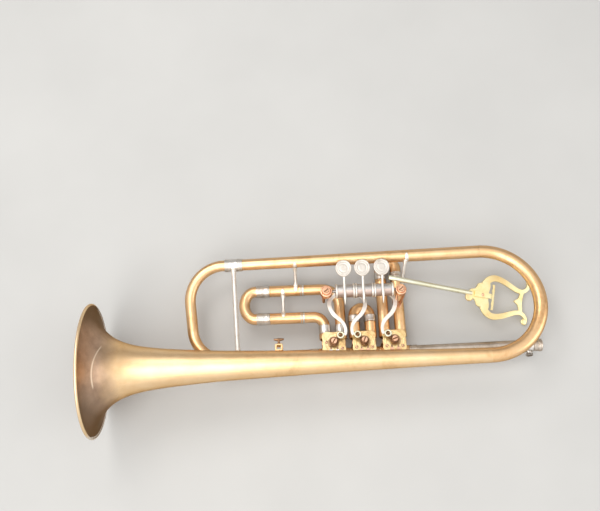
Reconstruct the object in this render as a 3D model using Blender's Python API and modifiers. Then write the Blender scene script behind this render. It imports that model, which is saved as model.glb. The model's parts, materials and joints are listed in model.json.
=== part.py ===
"""Rotary-valve flugelhorn with a marching lyre, lying at rest on a flat surface.

Dimensions are in millimetres in the instrument's own frame: the bell axis is X, from the mouth
at X = 0 to the player's end, Y runs from the bell to the top tube, and Z is up through the keys.
The whole frame hangs on one empty, which tilts it onto the three points that it rests on.
"""
import math

import bmesh
import bpy
from mathutils import Matrix, Vector

MM = 0.001
GAP = 0.3                        # air between pieces that touch on the real instrument

# Tubes
SIDES = 10                       # facets round a tube
WALL = 0.5
CROOK_RADIUS = 6.0               # outside radius of the small tubing
SLEEVE_RADIUS = 6.25             # outer slide tube
LEG_RADIUS = 5.35                # inner slide tube
FERRULE_RADIUS = 6.9
TUBE_LEVEL = -34.0               # height of all valve tubing, below the bell axis

# Bell: outside radius at each distance from the mouth, from the throat to the rim
BELL_END = 427.4
BELL_PROFILE = (
    (BELL_END, 8.0), (356, 9.3), (265, 11.8), (180, 14.7), (137, 16.4), (94, 19.4), (73, 21.4),
    (52, 24.6), (37, 28.6), (25, 34.2), (15, 42.4), (8, 52.0), (3.6, 62.0), (1.9, 70.0),
)
BELL_WALL = 0.7
RIM_RADIUS = 72.0
RIM_BEAD = 1.2
BELL_SIDES = 24

# Bows
BOW_X = 428.7                    # where the large bow's bend starts
LEAD = 1.0                       # straight tube before a bend
BOW_RADIUS = 60.25
TOP_Y = 2 * BOW_RADIUS
BOW_THICK = 7.9                  # tube radius at the bell's end of the large bow
BOW_THIN = 6.9                   # and at the top tube's end
FERRULE_X = (141.5, 161.5)       # ferrule between the top tube and the small bow
FERRULE_Z = (-12.2, -11.7)
MAIN_FERRULE_RADIUS = 7.3
SMALL_BOW_RADII = (38.7, 32.0)   # at the ferrule's end and at the valve's end
SMALL_BOW_LEAN = 5.3             # degrees, of the straight part between the two bends

# Valves, numbered from the player
VALVE_X = {1: 328.0, 2: 294.5, 3: 261.0}
VALVE_Y = 27.0
VALVE_SIDE = {1: -1, 2: -1, 3: 1}         # side of the stop arm's ring: -1 towards the bell
PORT_OFFSET = 9.0
CASING_RADIUS = 13.3
CASING_BORE = 11.9
CASING_TOP = -20.5
CASING_BOTTOM = -49.0
CASING_LID = 2.2
STUB_RADIUS = 6.65
STUB_REACH = 14.0                         # tops of the slide stubs, above the valve's axis
PORT_RADIUS = 5.3
ROTOR_RADIUS = 11.5
ROTOR_BORE = 4.6
SPINDLE_RADIUS = 3.0
SPINDLE_HOLE = 3.4
ARM_RADIUS = 8.7                          # crank pin's distance from the rotor's axis
RING_OFFSET = 7.4                         # link ring's distance, mid-way through the pin's arc

# Keys
ROD_Y, ROD_Z = 78.0, 4.0
ROD_X = (254.6, 337.4)
ROD_RADIUS = 1.5
BARREL_RADIUS = 7.2
BARREL_BORE = 5.4
COIL_RADIUS = 3.3
BARREL_X = {1: (306.9, 328.4), 2: (286.3, 306.6), 3: (264.8, 286.0)}
DISC_X = {1: 316.3, 2: 295.0, 3: 274.5}
DISC_Y, DISC_Z = 100.3, 16.0
DISC_HALF = (8.8, 9.8)
POSTS = {"left": (254.6, 78.0, 6.8), "right": (336.6, 76.8, 6.2)}   # x, y and radius
LEFT_FOOT_TURN = math.radians(80)          # where the left foot sits round the third tube's bend
RIGHT_FOOT = (336.6, 70.0, -27.2)          # on the first slide's tube
POST_TOP, POST_BASE = 8.6, -0.2
EAR_LENGTH = 18.0
EAR_LEAN = math.radians(20)               # half of the key's travel
PIN_SIDE = 3.4                            # crank eye's offset from the link's ring
LINK_PATH = (                             # from the crank eye to the ring, for valves 1 and 2
    (3.4, 82.0), (4.3, 79.2), (7.2, 76.9), (9.9, 73.4), (10.6, 68.2), (9.0, 62.0), (5.6, 56.4),
    (0.8, 51.8), (-3.2, 47.3), (-5.6, 41.5), (-5.8, 36.0), (-4.5, 32.7), (-2.8, 31.0),
)
LINK_WIDTH = 4.2
LINK_THICK = 1.8

# Slides
FIRST_FERRULE = (104.0, 112.0)
FIRST_LEG_LENGTH = 50.0
SECOND_FERRULE = (54.0, 61.5)
THIRD_LEGS_Y = (95.3, 62.0)
THIRD_FERRULE = (175.6, 190.4)
THIRD_SLEEVE_END = 229.0
THIRD_LEG_LENGTH = 52.0
THIRD_CROOK_DEPTH = 12.6         # less than half its height: the crook is a flattened U
THIRD_BENDS = {"upper": (250.0, 20.0), "lower": (240.0, 12.0)}

# Leadpipe and its shank
LEADPIPE_X = (344.9, 482.0)
LEADPIPE_Y = (18.0, 18.9)
LEADPIPE_RADII = (6.0, 6.3)
RECEIVER_X = (483.0, 492.6)
SHANK_LENGTH = 38.0              # inside the leadpipe
SHANK_BORE = (4.4, 5.2)          # radius inside, and at the mouth
CLAMP_X = (473.0, 482.0)
CLAMP_RADIUS = 7.6
CLAMP_REACH = 9.0                # from the leadpipe's axis to the thumb screw's seat

# Braces, by where they meet the tubes
BELL_BRACE_X = (151.0, 157.0)    # at the ferrule and at the bell
TOP_BRACE_X = 221.0
THIRD_BRACE_X = 206.0
POST_BRACE_X = 347.0

# Lyre socket on the bell
SOCKET_X, SOCKET_Z = 200.6, -4.0
SOCKET_SIZE = (8.6, 8.0, 9.0)
SOCKET_HOLE = 4.2

# Lyre, loose on the instrument: its shank lies on the lever post's brace
LYRE_ORIGIN = (341.9, 86.4, 7.6)
LYRE_AXIS = (0.9449, -0.1091, -0.3091)
LYRE_NORMAL = (0.2768, -0.2390, 0.9307)
LYRE_THICK = 2.2
SHANK_RADIUS = 1.9

# Resting plane under the level instrument: its rise along X and along Y
REST_SLOPE = (0.03772, 0.15991)

FINISHES = {                     # colour, metallic, roughness
    "brass": ((0.76, 0.52, 0.24, 1), 1.0, 0.28),
    "bell_brass": ((0.70, 0.47, 0.23, 1), 1.0, 0.32),
    "nickel_silver": ((0.80, 0.78, 0.72, 1), 1.0, 0.25),
    "copper": ((0.72, 0.42, 0.30, 1), 1.0, 0.35),
    "steel": ((0.42, 0.40, 0.38, 1), 1.0, 0.40),
    "lyre_brass": ((0.90, 0.78, 0.42, 1), 1.0, 0.30),
}


# ---------------------------------------------------------------- scene helpers

def clear_scene():
    for obj in list(bpy.data.objects):
        bpy.data.objects.remove(obj)


def make_collection(name):
    collection = bpy.data.collections.new(name)
    bpy.context.scene.collection.children.link(collection)
    return collection


def make_finish(name):
    colour, metallic, roughness = FINISHES[name]
    material = bpy.data.materials.new(name)
    material.use_nodes = True
    shader = material.node_tree.nodes["Principled BSDF"]
    shader.inputs["Base Color"].default_value = colour
    shader.inputs["Metallic"].default_value = metallic
    shader.inputs["Roughness"].default_value = roughness
    return material


def keep(obj, finish):
    """Put a finished piece in the instrument's collection, with its material."""
    PARTS.objects.link(obj)
    obj.data.materials.append(MATERIALS[finish])
    obj.parent = INSTRUMENT
    return obj


def as_tool(obj):
    """Put a shape that only cuts or joins another among the tools."""
    TOOLS.objects.link(obj)
    obj.hide_render = True
    obj.display_type = "WIRE"
    obj.parent = INSTRUMENT
    return obj


def combine(target, tool, operation):
    modifier = target.modifiers.new(operation.title(), "BOOLEAN")
    modifier.operation = operation
    modifier.solver = "EXACT"
    modifier.object = as_tool(tool)


def join(target, *tools):
    for tool in tools:
        combine(target, tool, "UNION")


def cut(target, *tools):
    for tool in tools:
        combine(target, tool, "DIFFERENCE")


def aim(obj, start, direction):
    """Move an object's origin to start and turn its Z axis along direction."""
    obj.location = Vector(start) * MM
    obj.rotation_euler = Vector(direction).to_track_quat("Z", "Y").to_euler()


# ---------------------------------------------------------------- shapes

def turned(name, outline, start, direction, sides=SIDES, ring=False):
    """A turned piece. The outline's (radius, height) pairs run down its outer side."""
    mesh = bpy.data.meshes.new(name)
    points = [(radius * MM, 0, height * MM) for radius, height in outline]
    edges = [(i, i + 1) for i in range(len(points) - 1)]
    if ring:
        edges.append((len(points) - 1, 0))
    mesh.from_pydata(points, edges, [])
    obj = bpy.data.objects.new(name, mesh)
    screw = obj.modifiers.new("Turn", "SCREW")
    screw.steps = screw.render_steps = sides
    screw.use_merge_vertices = True
    screw.merge_threshold = 0.00001
    aim(obj, start, direction)
    return obj


def span(start, end):
    vector = Vector(end) - Vector(start)
    return vector, vector.length


def cylinder(name, start, end, radius, sides=SIDES):
    direction, length = span(start, end)
    outline = ((0, length), (radius, length), (radius, 0), (0, 0))
    return turned(name, outline, start, direction, sides)


def straight_tube(name, start, end, radii, bores, sides=SIDES):
    """A tube between two points, with an outside and an inside radius at each end."""
    direction, length = span(start, end)
    outline = ((radii[1], length), (radii[0], 0), (bores[0], 0), (bores[1], length))
    return turned(name, outline, start, direction, sides, ring=True)


def sleeve(name, start, end, radius, bore, sides=SIDES):
    return straight_tube(name, start, end, (radius, radius), (bore, bore), sides)


def sweep(name, points, radii, sides, capped):
    """A curve object swept by a circle whose radius changes from point to point."""
    curve = bpy.data.curves.new(name, "CURVE")
    curve.dimensions = "3D"
    curve.bevel_depth = MM
    curve.bevel_resolution = (sides - 4) // 2
    curve.use_fill_caps = capped
    spline = curve.splines.new("POLY")
    spline.points.add(len(points) - 1)
    for knot, place, radius in zip(spline.points, points, radii):
        knot.co = (*(Vector(place) * MM), 1)
        knot.radius = radius
    return bpy.data.objects.new(name, curve)


def bent_tube(name, points, radii, wall=WALL, sides=SIDES):
    obj = sweep(name, points, radii, sides, capped=False)
    shell = obj.modifiers.new("Wall", "SOLIDIFY")
    shell.thickness = wall * MM
    shell.offset = -1
    return obj


def to_mesh(obj):
    """Turn a curve object into a closed mesh object with the same name and place."""
    PARTS.objects.link(obj)
    evaluated = obj.evaluated_get(bpy.context.evaluated_depsgraph_get())
    mesh = bpy.data.meshes.new_from_object(evaluated)
    welded = bmesh.new()
    welded.from_mesh(mesh)
    bmesh.ops.remove_doubles(welded, verts=welded.verts, dist=0.000001)
    welded.to_mesh(mesh)
    welded.free()
    solid = bpy.data.objects.new(obj.name, mesh)
    solid.matrix_world = obj.matrix_basis
    name = obj.name
    bpy.data.objects.remove(obj)
    solid.name = name
    return solid


def rod(name, points, radii, sides=8):
    return to_mesh(sweep(name, points, radii, sides, capped=True))


def plate(name, outline, thickness, place):
    """A flat piece: an outline in the XY plane of place, a 4x4 matrix in millimetres."""
    curve = bpy.data.curves.new(name, "CURVE")
    curve.dimensions = "2D"
    curve.fill_mode = "BOTH"
    curve.extrude = thickness / 2 * MM
    spline = curve.splines.new("POLY")
    spline.points.add(len(outline) - 1)
    for knot, (x, y) in zip(spline.points, outline):
        knot.co = (x * MM, y * MM, 0, 1)
    spline.use_cyclic_u = True
    obj = bpy.data.objects.new(name, curve)
    obj.location = place.to_translation() * MM
    obj.rotation_euler = place.to_euler()
    return to_mesh(obj)


def box(name, size, centre, place=Matrix()):
    mesh = bpy.data.meshes.new(name)
    cube = bmesh.new()
    bmesh.ops.create_cube(cube, size=1)
    bmesh.ops.scale(cube, vec=Vector(size) * MM, verts=cube.verts)
    bmesh.ops.translate(cube, vec=Vector(centre) * MM, verts=cube.verts)
    cube.to_mesh(mesh)
    cube.free()
    obj = bpy.data.objects.new(name, mesh)
    obj.location = place.to_translation() * MM
    obj.rotation_euler = place.to_euler()
    return obj


# ---------------------------------------------------------------- paths

def arc(centre, radius, start, end, steps):
    """Points on a circle from one angle to another, in degrees."""
    angles = [math.radians(start + (end - start) * i / steps) for i in range(steps + 1)]
    return [(centre[0] + radius * math.cos(a), centre[1] + radius * math.sin(a)) for a in angles]


def smooth(points, steps):
    """A Catmull-Rom curve through flat points, with steps pieces between neighbours."""
    padded = [points[0], *points, points[-1]]
    curve = []
    for a, b, c, d in zip(padded, padded[1:], padded[2:], padded[3:]):
        for i in range(steps):
            t = i / steps
            curve.append(tuple(
                0.5 * (2 * q + (r - p) * t + (2 * p - 5 * q + 4 * r - s) * t * t
                       + (3 * q - p - 3 * r + s) * t ** 3)
                for p, q, r, s in zip(a, b, c, d)))
    return curve + [tuple(points[-1])]


def strip(points, widths):
    """The outline of a flat bar along a flat path, with a width at each point."""
    left, right = [], []
    for i, (x, y) in enumerate(points):
        before = Vector(points[max(i - 1, 0)])
        after = Vector(points[min(i + 1, len(points) - 1)])
        along = (after - before).normalized() * widths[i] / 2
        left.append((x - along.y, y + along.x))
        right.append((x + along.y, y - along.x))
    return left + right[::-1]


def level(points, z):
    return [(x, y, z) for x, y in points]


def blend(start, end, t):
    return start + (end - start) * t


# ---------------------------------------------------------------- bell and bows

def bell_radius(x):
    """Outside radius of the bell at a distance from its mouth."""
    for (x1, r1), (x0, r0) in zip(BELL_PROFILE, BELL_PROFILE[1:]):
        if x >= x0:
            return blend(r0, r1, (x - x0) / (x1 - x0))
    return RIM_RADIUS


def build_bell():
    outside = [Vector((radius, x)) for x, radius in BELL_PROFILE]
    inside = []
    for i, point in enumerate(outside):
        along = outside[min(i + 1, len(outside) - 1)] - outside[max(i - 1, 0)]
        normal = Vector((along.y, -along.x)).normalized()
        inside.append(point + normal * BELL_WALL)
    inside[0].y = BELL_END
    bead = [(RIM_RADIUS - RIM_BEAD + RIM_BEAD * math.cos(a), RIM_BEAD + RIM_BEAD * math.sin(a))
            for a in (math.radians(angle) for angle in (60, 0, -60, -120))]
    outline = [*outside, *bead, *reversed(inside)]
    keep(turned("bell", outline, (0, 0, 0), (1, 0, 0), BELL_SIDES, ring=True), "bell_brass")


def build_bows():
    steps = 12
    bend = arc((BOW_X, BOW_RADIUS), BOW_RADIUS, -90, 90, steps)
    path = [(BOW_X - LEAD, 0), *bend, (BOW_X - LEAD, TOP_Y)]
    radii = [BOW_THICK, *[blend(BOW_THICK, BOW_THIN, i / steps) for i in range(steps + 1)], BOW_THIN]
    keep(bent_tube("bell_bow", level(path, 0), radii), "brass")

    start = (FERRULE_X[1] + GAP, TOP_Y, FERRULE_Z[1])
    end = (BELL_END, TOP_Y, 0)
    bore = (CROOK_RADIUS + 0.2 - WALL, BOW_THIN - WALL)
    top = straight_tube("top_tube", start, end, (CROOK_RADIUS + 0.2, BOW_THIN), bore)
    keep(top, "brass")

    start = (FERRULE_X[0], TOP_Y, FERRULE_Z[0])
    end = (FERRULE_X[1], TOP_Y, FERRULE_Z[1])
    ferrule = sleeve("main_ferrule", start, end, MAIN_FERRULE_RADIUS, MAIN_FERRULE_RADIUS - 1.6)
    keep(ferrule, "nickel_silver")


def build_small_bow():
    """From the ferrule round and under the bell to the third valve."""
    upper, lower = SMALL_BOW_RADII
    port_y = VALVE_Y - PORT_OFFSET
    start = FERRULE_X[0] - GAP
    turn = 180 + SMALL_BOW_LEAN
    bend = [(start, TOP_Y), *arc((start - LEAD, TOP_Y - upper), upper, 90, turn, 5)]
    lean = math.radians(turn)
    fall = bend[-1][1] - port_y - lower * (1 + math.sin(lean))
    centre = bend[-1][0] + fall * math.tan(lean) - lower * math.cos(lean)
    bend += arc((centre, port_y + lower), lower, turn, 270, 5)
    steps = len(bend) - 2
    drop = [blend(FERRULE_Z[0], TUBE_LEVEL, 0.5 - 0.5 * math.cos(math.pi * max(i - 1, 0) / steps))
            for i in range(len(bend))]
    path = [(x, y, z) for (x, y), z in zip(bend, drop)]
    path.append((VALVE_X[3] - STUB_END - GAP, port_y, TUBE_LEVEL))
    keep(bent_tube("small_bow", path, [CROOK_RADIUS] * len(path)), "brass")


# ---------------------------------------------------------------- leadpipe and shank

def build_leadpipe():
    start = (LEADPIPE_X[0], LEADPIPE_Y[0], TUBE_LEVEL)
    end = (LEADPIPE_X[1], LEADPIPE_Y[1], TUBE_LEVEL)
    bores = (LEADPIPE_RADII[0] - 0.6, LEADPIPE_RADII[1] - 0.55)
    pipe = straight_tube("leadpipe", start, end, LEADPIPE_RADII, bores)
    keep(pipe, "nickel_silver")

    receiver = RECEIVER_X[1] - RECEIVER_X[0]
    inner, mouth = SHANK_BORE
    outline = (
        (6.4, receiver), (6.9, receiver - 1.5), (6.9, receiver - 3), (6.3, receiver - 4),
        (6.3, 0), (mouth, 0), (mouth, -SHANK_LENGTH), (inner, -SHANK_LENGTH), (inner, 0),
        (mouth, receiver),
    )
    direction, _ = span(start, end)
    place = (RECEIVER_X[0], LEADPIPE_Y[1], TUBE_LEVEL)
    shank = turned("tuning_shank", outline, place, direction, ring=True)
    keep(shank, "nickel_silver")


def build_clamp():
    """The collar that locks the shank, and its thumb screw."""
    y = LEADPIPE_Y[1]
    x = sum(CLAMP_X) / 2
    seat = y - CLAMP_REACH
    ends = [(end, y, TUBE_LEVEL) for end in CLAMP_X]
    collar = sleeve("shank_clamp", *ends, CLAMP_RADIUS, CLAMP_RADIUS - 0.9)
    boss = cylinder("clamp_boss", (x, y - CLAMP_RADIUS + WALL, TUBE_LEVEL), (x, seat, TUBE_LEVEL), 2.8)
    hole = cylinder("clamp_hole", (x, y - 5, TUBE_LEVEL), (x, seat - 1, TUBE_LEVEL), 1.7)
    join(collar, boss)
    cut(collar, hole)
    keep(collar, "nickel_silver")

    outline = ((0, 2.6), (3.4, 2.6), (3.9, 2.1), (3.9, 0.4), (3.5, 0), (1.3, 0), (1.3, -2.6), (0, -2.6))
    screw = turned("clamp_screw", outline, (x, seat - GAP, TUBE_LEVEL), (0, -1, 0))
    keep(screw, "steel")


# ---------------------------------------------------------------- valves

def build_casing(number):
    x = VALVE_X[number]
    name = f"valve_casing_{number}"
    port_y = VALVE_Y - PORT_OFFSET
    casing = cylinder(name, (x, VALVE_Y, CASING_BOTTOM), (x, VALVE_Y, CASING_TOP), CASING_RADIUS, 20)
    line = [(x - STUB_END, port_y, TUBE_LEVEL), (x + STUB_END, port_y, TUBE_LEVEL)]
    join(casing, cylinder(f"{name}_line", *line, STUB_RADIUS))
    bores = [cylinder(f"{name}_line_bore", (x - 20, port_y, TUBE_LEVEL),
                      (x + 20, port_y, TUBE_LEVEL), PORT_RADIUS)]
    for side in (-PORT_OFFSET, PORT_OFFSET):
        low = (x + side, VALVE_Y + 2.6, TUBE_LEVEL)
        high = (x + side, VALVE_Y + STUB_REACH, TUBE_LEVEL)
        past = (x + side, VALVE_Y + STUB_REACH + 2, TUBE_LEVEL)
        join(casing, cylinder(f"{name}_stub_{side:+.0f}", low, high, STUB_RADIUS))
        deep = (x + side, VALVE_Y + 3.5, TUBE_LEVEL)
        bores.append(cylinder(f"{name}_bore_{side:+.0f}", deep, past, PORT_RADIUS))
    chamber = cylinder(f"{name}_chamber", (x, VALVE_Y, CASING_BOTTOM - 1),
                       (x, VALVE_Y, CASING_TOP - CASING_LID), CASING_BORE, 20)
    hole = cylinder(f"{name}_hole", (x, VALVE_Y, CASING_TOP - CASING_LID - 1),
                    (x, VALVE_Y, CASING_TOP + 1), SPINDLE_HOLE)
    cut(casing, chamber, *bores, hole)
    for modifier in casing.modifiers:
        if modifier.type == "BOOLEAN":
            modifier.solver = "MANIFOLD"    # the many shallow crossings here defeat EXACT
    keep(casing, "brass")


def build_valve_bottom(number):
    """The rear bearing plate and the screw cap that covers it."""
    x = VALVE_X[number]
    low = (x, VALVE_Y, CASING_BOTTOM + 0.2)
    high = (x, VALVE_Y, CASING_BOTTOM + 2)
    bearing = sleeve(f"bearing_plate_{number}", low, high, 11.5, SPINDLE_HOLE, 12)
    keep(bearing, "brass")

    outline = ((0, -3), (11.2, -3), (11.2, 0), (12.8, 0), (12.8, -3.6), (11.6, -4.7), (0, -4.7))
    top = (x, VALVE_Y, CASING_BOTTOM - GAP)
    keep(turned(f"dust_cap_{number}", outline, top, (0, 0, 1), 16), "brass")


def build_rotor(number):
    """The turning plug, with its two curved passages."""
    x = VALVE_X[number]
    name = f"rotor_{number}"
    top = CASING_TOP - CASING_LID - GAP
    bottom = CASING_BOTTOM + 2 + GAP
    outline = (
        (0, CASING_TOP + 0.2), (SPINDLE_RADIUS, CASING_TOP + 0.2), (SPINDLE_RADIUS, top),
        (ROTOR_RADIUS, top), (ROTOR_RADIUS, bottom), (SPINDLE_RADIUS, bottom),
        (SPINDLE_RADIUS, CASING_BOTTOM), (0, CASING_BOTTOM),
    )
    rotor = turned(name, outline, (x, VALVE_Y, 0), (0, 0, 1), 16)
    for side in (-1, 1):
        passage = [(-10.8, 10.0), (-7.8, 7.6), (-4.2, 5.8), (0, 5.2), (4.2, 5.8), (7.8, 7.6), (10.8, 10.0)]
        path = [(x + along, VALVE_Y + side * away, TUBE_LEVEL) for along, away in passage]
        cut(rotor, rod(f"{name}_passage_{side:+d}", path, [ROTOR_BORE] * len(path)))
    keep(rotor, "brass")


def build_stop_arm(number):
    """The crank on the rotor's spindle, with its pin, and the slotted screw that holds it."""
    x = VALVE_X[number]
    side = VALVE_SIDE[number]
    name = f"stop_arm_{number}"
    bottom = CASING_TOP + 0.5
    hub_top = bottom + 2.9
    reach = ARM_RADIUS * math.sqrt(0.5)
    pin = (x + side * reach, VALVE_Y + reach)
    arm = cylinder(name, (x, VALVE_Y, bottom), (x, VALVE_Y, hub_top), 4.6, 12)
    outline = strip([(x, VALVE_Y), pin], [4.4, 3.6])
    middle = Matrix.Translation((0, 0, bottom + 1))
    boss = cylinder(f"{name}_boss", (*pin, bottom), (*pin, bottom + 4.3), 2.0, 8)
    stud = cylinder(f"{name}_stud", (*pin, bottom + 4), (*pin, -11.0), 0.9, 8)
    join(arm, plate(f"{name}_web", outline, 1.8, middle), boss, stud)
    keep(arm, "nickel_silver")

    low = hub_top + GAP
    screw = turned(f"stop_screw_{number}", (
        (0, 4.8), (2.4, 4.8), (2.9, 4.3), (2.9, 1.6), (3.6, 1.2), (3.6, 0), (0, 0),
    ), (x, VALVE_Y, low), (0, 0, 1), 12)
    slot = box(f"stop_screw_{number}_slot", (8, 0.9, 2.4), (x, VALVE_Y, low + 4.8))
    cut(screw, slot)
    keep(screw, "copper")


# ---------------------------------------------------------------- slides

def slide_bow(name, centre, reach, tail, angles):
    """A half ellipse of tube, reach wide and deep, whose straight ends run back by tail."""
    curve = [(centre[0] + reach[0] * x, centre[1] + reach[1] * y)
             for x, y in arc((0, 0), 1, *angles, 7)]
    path = [Vector(point) for point in level(curve, TUBE_LEVEL)]
    path = [path[0] + Vector(tail), *path, path[-1] + Vector(tail)]
    keep(bent_tube(name, path, [CROOK_RADIUS] * len(path)), "brass")


def slide_leg(name, start, end, collar):
    """A ferrule with the inner slide tube that it carries, along one line."""
    direction, length = span(start, end)
    outline = (
        (LEG_RADIUS, length), (LEG_RADIUS, collar), (FERRULE_RADIUS, collar), (FERRULE_RADIUS, 0),
        (LEG_RADIUS - WALL, 0), (LEG_RADIUS - WALL, length),
    )
    keep(turned(name, outline, start, direction, ring=True), "nickel_silver")


def build_first_slide():
    x = VALVE_X[1]
    low, high = FIRST_FERRULE
    straight = 5.0
    slide_bow("first_slide_crook", (x, high + straight), (PORT_OFFSET, PORT_OFFSET),
              (0, GAP - straight, 0), (180, 0))
    for side, place in (("left", x - PORT_OFFSET), ("right", x + PORT_OFFSET)):
        base = (place, VALVE_Y + STUB_REACH + GAP, TUBE_LEVEL)
        top = (place, low - GAP, TUBE_LEVEL)
        bore = SLEEVE_RADIUS - WALL
        keep(sleeve(f"first_slide_tube_{side}", base, top, SLEEVE_RADIUS, bore), "brass")
        start = (place, high, TUBE_LEVEL)
        end = (place, high - FIRST_LEG_LENGTH, TUBE_LEVEL)
        slide_leg(f"first_slide_leg_{side}", start, end, high - low)


def build_second_slide():
    """Short enough that its crook, ferrules and legs are one bent tube."""
    x = VALVE_X[2]
    low, high = SECOND_FERRULE
    base = VALVE_Y + STUB_REACH + GAP
    for side, place in (("left", x - PORT_OFFSET), ("right", x + PORT_OFFSET)):
        bore = SLEEVE_RADIUS - WALL
        tube = sleeve(f"second_slide_tube_{side}", (place, base, TUBE_LEVEL),
                      (place, low - GAP, TUBE_LEVEL), SLEEVE_RADIUS, bore)
        keep(tube, "brass")
    bend = arc((x, high), PORT_OFFSET, 180, 0, 5)
    heights = (base + 1, low, low + 0.1, high - 0.3)
    left = [(x - PORT_OFFSET, y) for y in heights]
    right = [(x + PORT_OFFSET, y) for y in reversed(heights)]
    steps = (LEG_RADIUS, LEG_RADIUS, 6.6, 6.6)
    radii = [*steps, *[CROOK_RADIUS] * len(bend), *reversed(steps)]
    slide = bent_tube("second_slide", level(left + bend + right, TUBE_LEVEL), radii, 0.6)
    keep(slide, "brass")


def build_third_slide():
    upper, lower = THIRD_LEGS_Y
    left, right = THIRD_FERRULE
    centre = (left - GAP - LEAD, (upper + lower) / 2)
    slide_bow("third_slide_crook", centre, (THIRD_CROOK_DEPTH, (upper - lower) / 2),
              (LEAD, 0, 0), (90, 270))
    for side, y in (("upper", upper), ("lower", lower)):
        start = (left, y, TUBE_LEVEL)
        end = (left + THIRD_LEG_LENGTH, y, TUBE_LEVEL)
        slide_leg(f"third_slide_leg_{side}", start, end, right - left)
        build_third_tube(side, y)


def build_third_tube(side, y):
    """An outer slide tube of the third slide, with the bend that takes it to the valve."""
    bend_x, radius = THIRD_BENDS[side]
    bend = arc((bend_x, y - radius), radius, 90, 0, 5)
    start = THIRD_FERRULE[1] + GAP
    path = [(start, y), (THIRD_SLEEVE_END, y), (THIRD_SLEEVE_END + 0.5, y), *bend]
    path.append((bend_x + radius, VALVE_Y + STUB_REACH + GAP))
    radii = [SLEEVE_RADIUS, SLEEVE_RADIUS] + [CROOK_RADIUS] * (len(path) - 2)
    keep(bent_tube(f"third_slide_tube_{side}", level(path, TUBE_LEVEL), radii), "brass")


# ---------------------------------------------------------------- keys

def pin_place(number):
    """The crank pin at rest, where the ear meets the link."""
    x = VALVE_X[number] + VALVE_SIDE[number] * (RING_OFFSET - PIN_SIDE)
    y = ROD_Y + EAR_LENGTH * math.sin(EAR_LEAN)
    z = ROD_Z - EAR_LENGTH * math.cos(EAR_LEAN)
    return x, y, z


def build_key(number):
    """Touch plate, stem, spring barrel and crank ear, hard-soldered into one lever."""
    name = f"key_{number}"
    left, right = BARREL_X[number]
    length = right - left
    wall = 1.3
    bore = ROD_RADIUS + 0.35
    outline = (
        (BARREL_RADIUS, length), (BARREL_RADIUS, 0), (bore, 0), (bore, wall), (BARREL_BORE, wall),
        (BARREL_BORE, length - wall), (bore, length - wall), (bore, length),
    )
    key = turned(name, outline, (left, ROD_Y, ROD_Z), (1, 0, 0), 12, ring=True)

    x = DISC_X[number]
    top = ROD_Z + BARREL_RADIUS + 0.5
    stem = [(x, 63.2, top - 3.8), (x, 70, top - 1.4), (x, ROD_Y, top), (x, 85, top + 0.8),
            (x, 93, DISC_Z - 1.2)]
    join(key, rod(f"{name}_stem", stem, [0.9, 1.3, 1.5, 1.2, 1.2], 6))

    touch = [(DISC_HALF[0] * px, DISC_HALF[1] * py) for px, py in arc((0, 0), 1, 0, 330, 11)]
    join(key, plate(f"{name}_touch", touch, 1.8, Matrix.Translation((x, DISC_Y, DISC_Z))))

    pin_x, pin_y, pin_z = pin_place(number)
    side = VALVE_SIDE[number]
    ear_x = pin_x + side * 3.1
    ear = [(3.4 * px, 3.4 * py) for px, py in arc((0, 0), 1, 30, 150, 3)]
    ear += [(px, py - EAR_LENGTH) for px, py in arc((0, 0), 2.4, 200, 340, 4)]
    upright = Matrix.Rotation(math.radians(90), 4, "Y") @ Matrix.Rotation(math.radians(90), 4, "Z")
    lean = Matrix.Rotation(EAR_LEAN, 4, "X")
    place = Matrix.Translation((ear_x, ROD_Y, ROD_Z)) @ lean @ upright
    join(key, plate(f"{name}_ear", ear, 2.0, place))
    pin = cylinder(f"{name}_pin", (ear_x, pin_y, pin_z), (pin_x - side * 1.9, pin_y, pin_z), 1.2, 8)
    join(key, pin)
    inside = cylinder(f"{name}_inside", (left + wall, ROD_Y, ROD_Z),
                      (right - wall, ROD_Y, ROD_Z), BARREL_BORE - 0.02, 12)
    hole = cylinder(f"{name}_hole", (left - 1, ROD_Y, ROD_Z), (right + 1, ROD_Y, ROD_Z), bore - 0.01, 12)
    cut(key, inside, hole)
    keep(key, "nickel_silver")


def build_link(number):
    """The flat S-shaped bar from the key's crank pin to the stop arm's pin."""
    name = f"key_link_{number}"
    side = VALVE_SIDE[number]
    pin_x, pin_y, pin_z = pin_place(number)
    ring_x = VALVE_X[number] + side * RING_OFFSET
    ring_y = VALVE_Y + ARM_RADIUS * math.sqrt(0.5)
    half = LINK_THICK / 2
    path = smooth([(ring_x - side * dx, y) for dx, y in LINK_PATH], 2)
    outline = strip(path, [LINK_WIDTH] * len(path))
    link = sleeve(name, (ring_x, ring_y, pin_z - half), (ring_x, ring_y, pin_z + half), 3.5, 2.45, 12)
    eye = sleeve(f"{name}_eye", (pin_x - 1.2, pin_y, pin_z), (pin_x + 1.2, pin_y, pin_z), 3.0, 1.7, 8)
    bar = plate(f"{name}_bar", outline, LINK_THICK - 0.1, Matrix.Translation((0, 0, pin_z)))
    join(link, bar, eye)
    hole = cylinder(f"{name}_hole", (ring_x, ring_y, pin_z - 3), (ring_x, ring_y, pin_z + 3), 2.42, 12)
    pin_hole = cylinder(f"{name}_pin_hole", (pin_x - 5, pin_y, pin_z), (pin_x + 5, pin_y, pin_z), 1.66, 8)
    cut(link, hole, pin_hole)
    keep(link, "nickel_silver")


def build_spring(number):
    """The coil inside a key's barrel that lifts the key."""
    turns, points = 3, 7
    left, right = BARREL_X[number]
    start, length = left + 3.5, right - left - 7
    path = []
    for i in range(turns * points + 1):
        angle = 2 * math.pi * i / points
        path.append((start + length * i / (turns * points),
                     ROD_Y + COIL_RADIUS * math.cos(angle), ROD_Z + COIL_RADIUS * math.sin(angle)))
    keep(rod(f"key_spring_{number}", path, [0.35] * len(path), 6), "steel")


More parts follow.
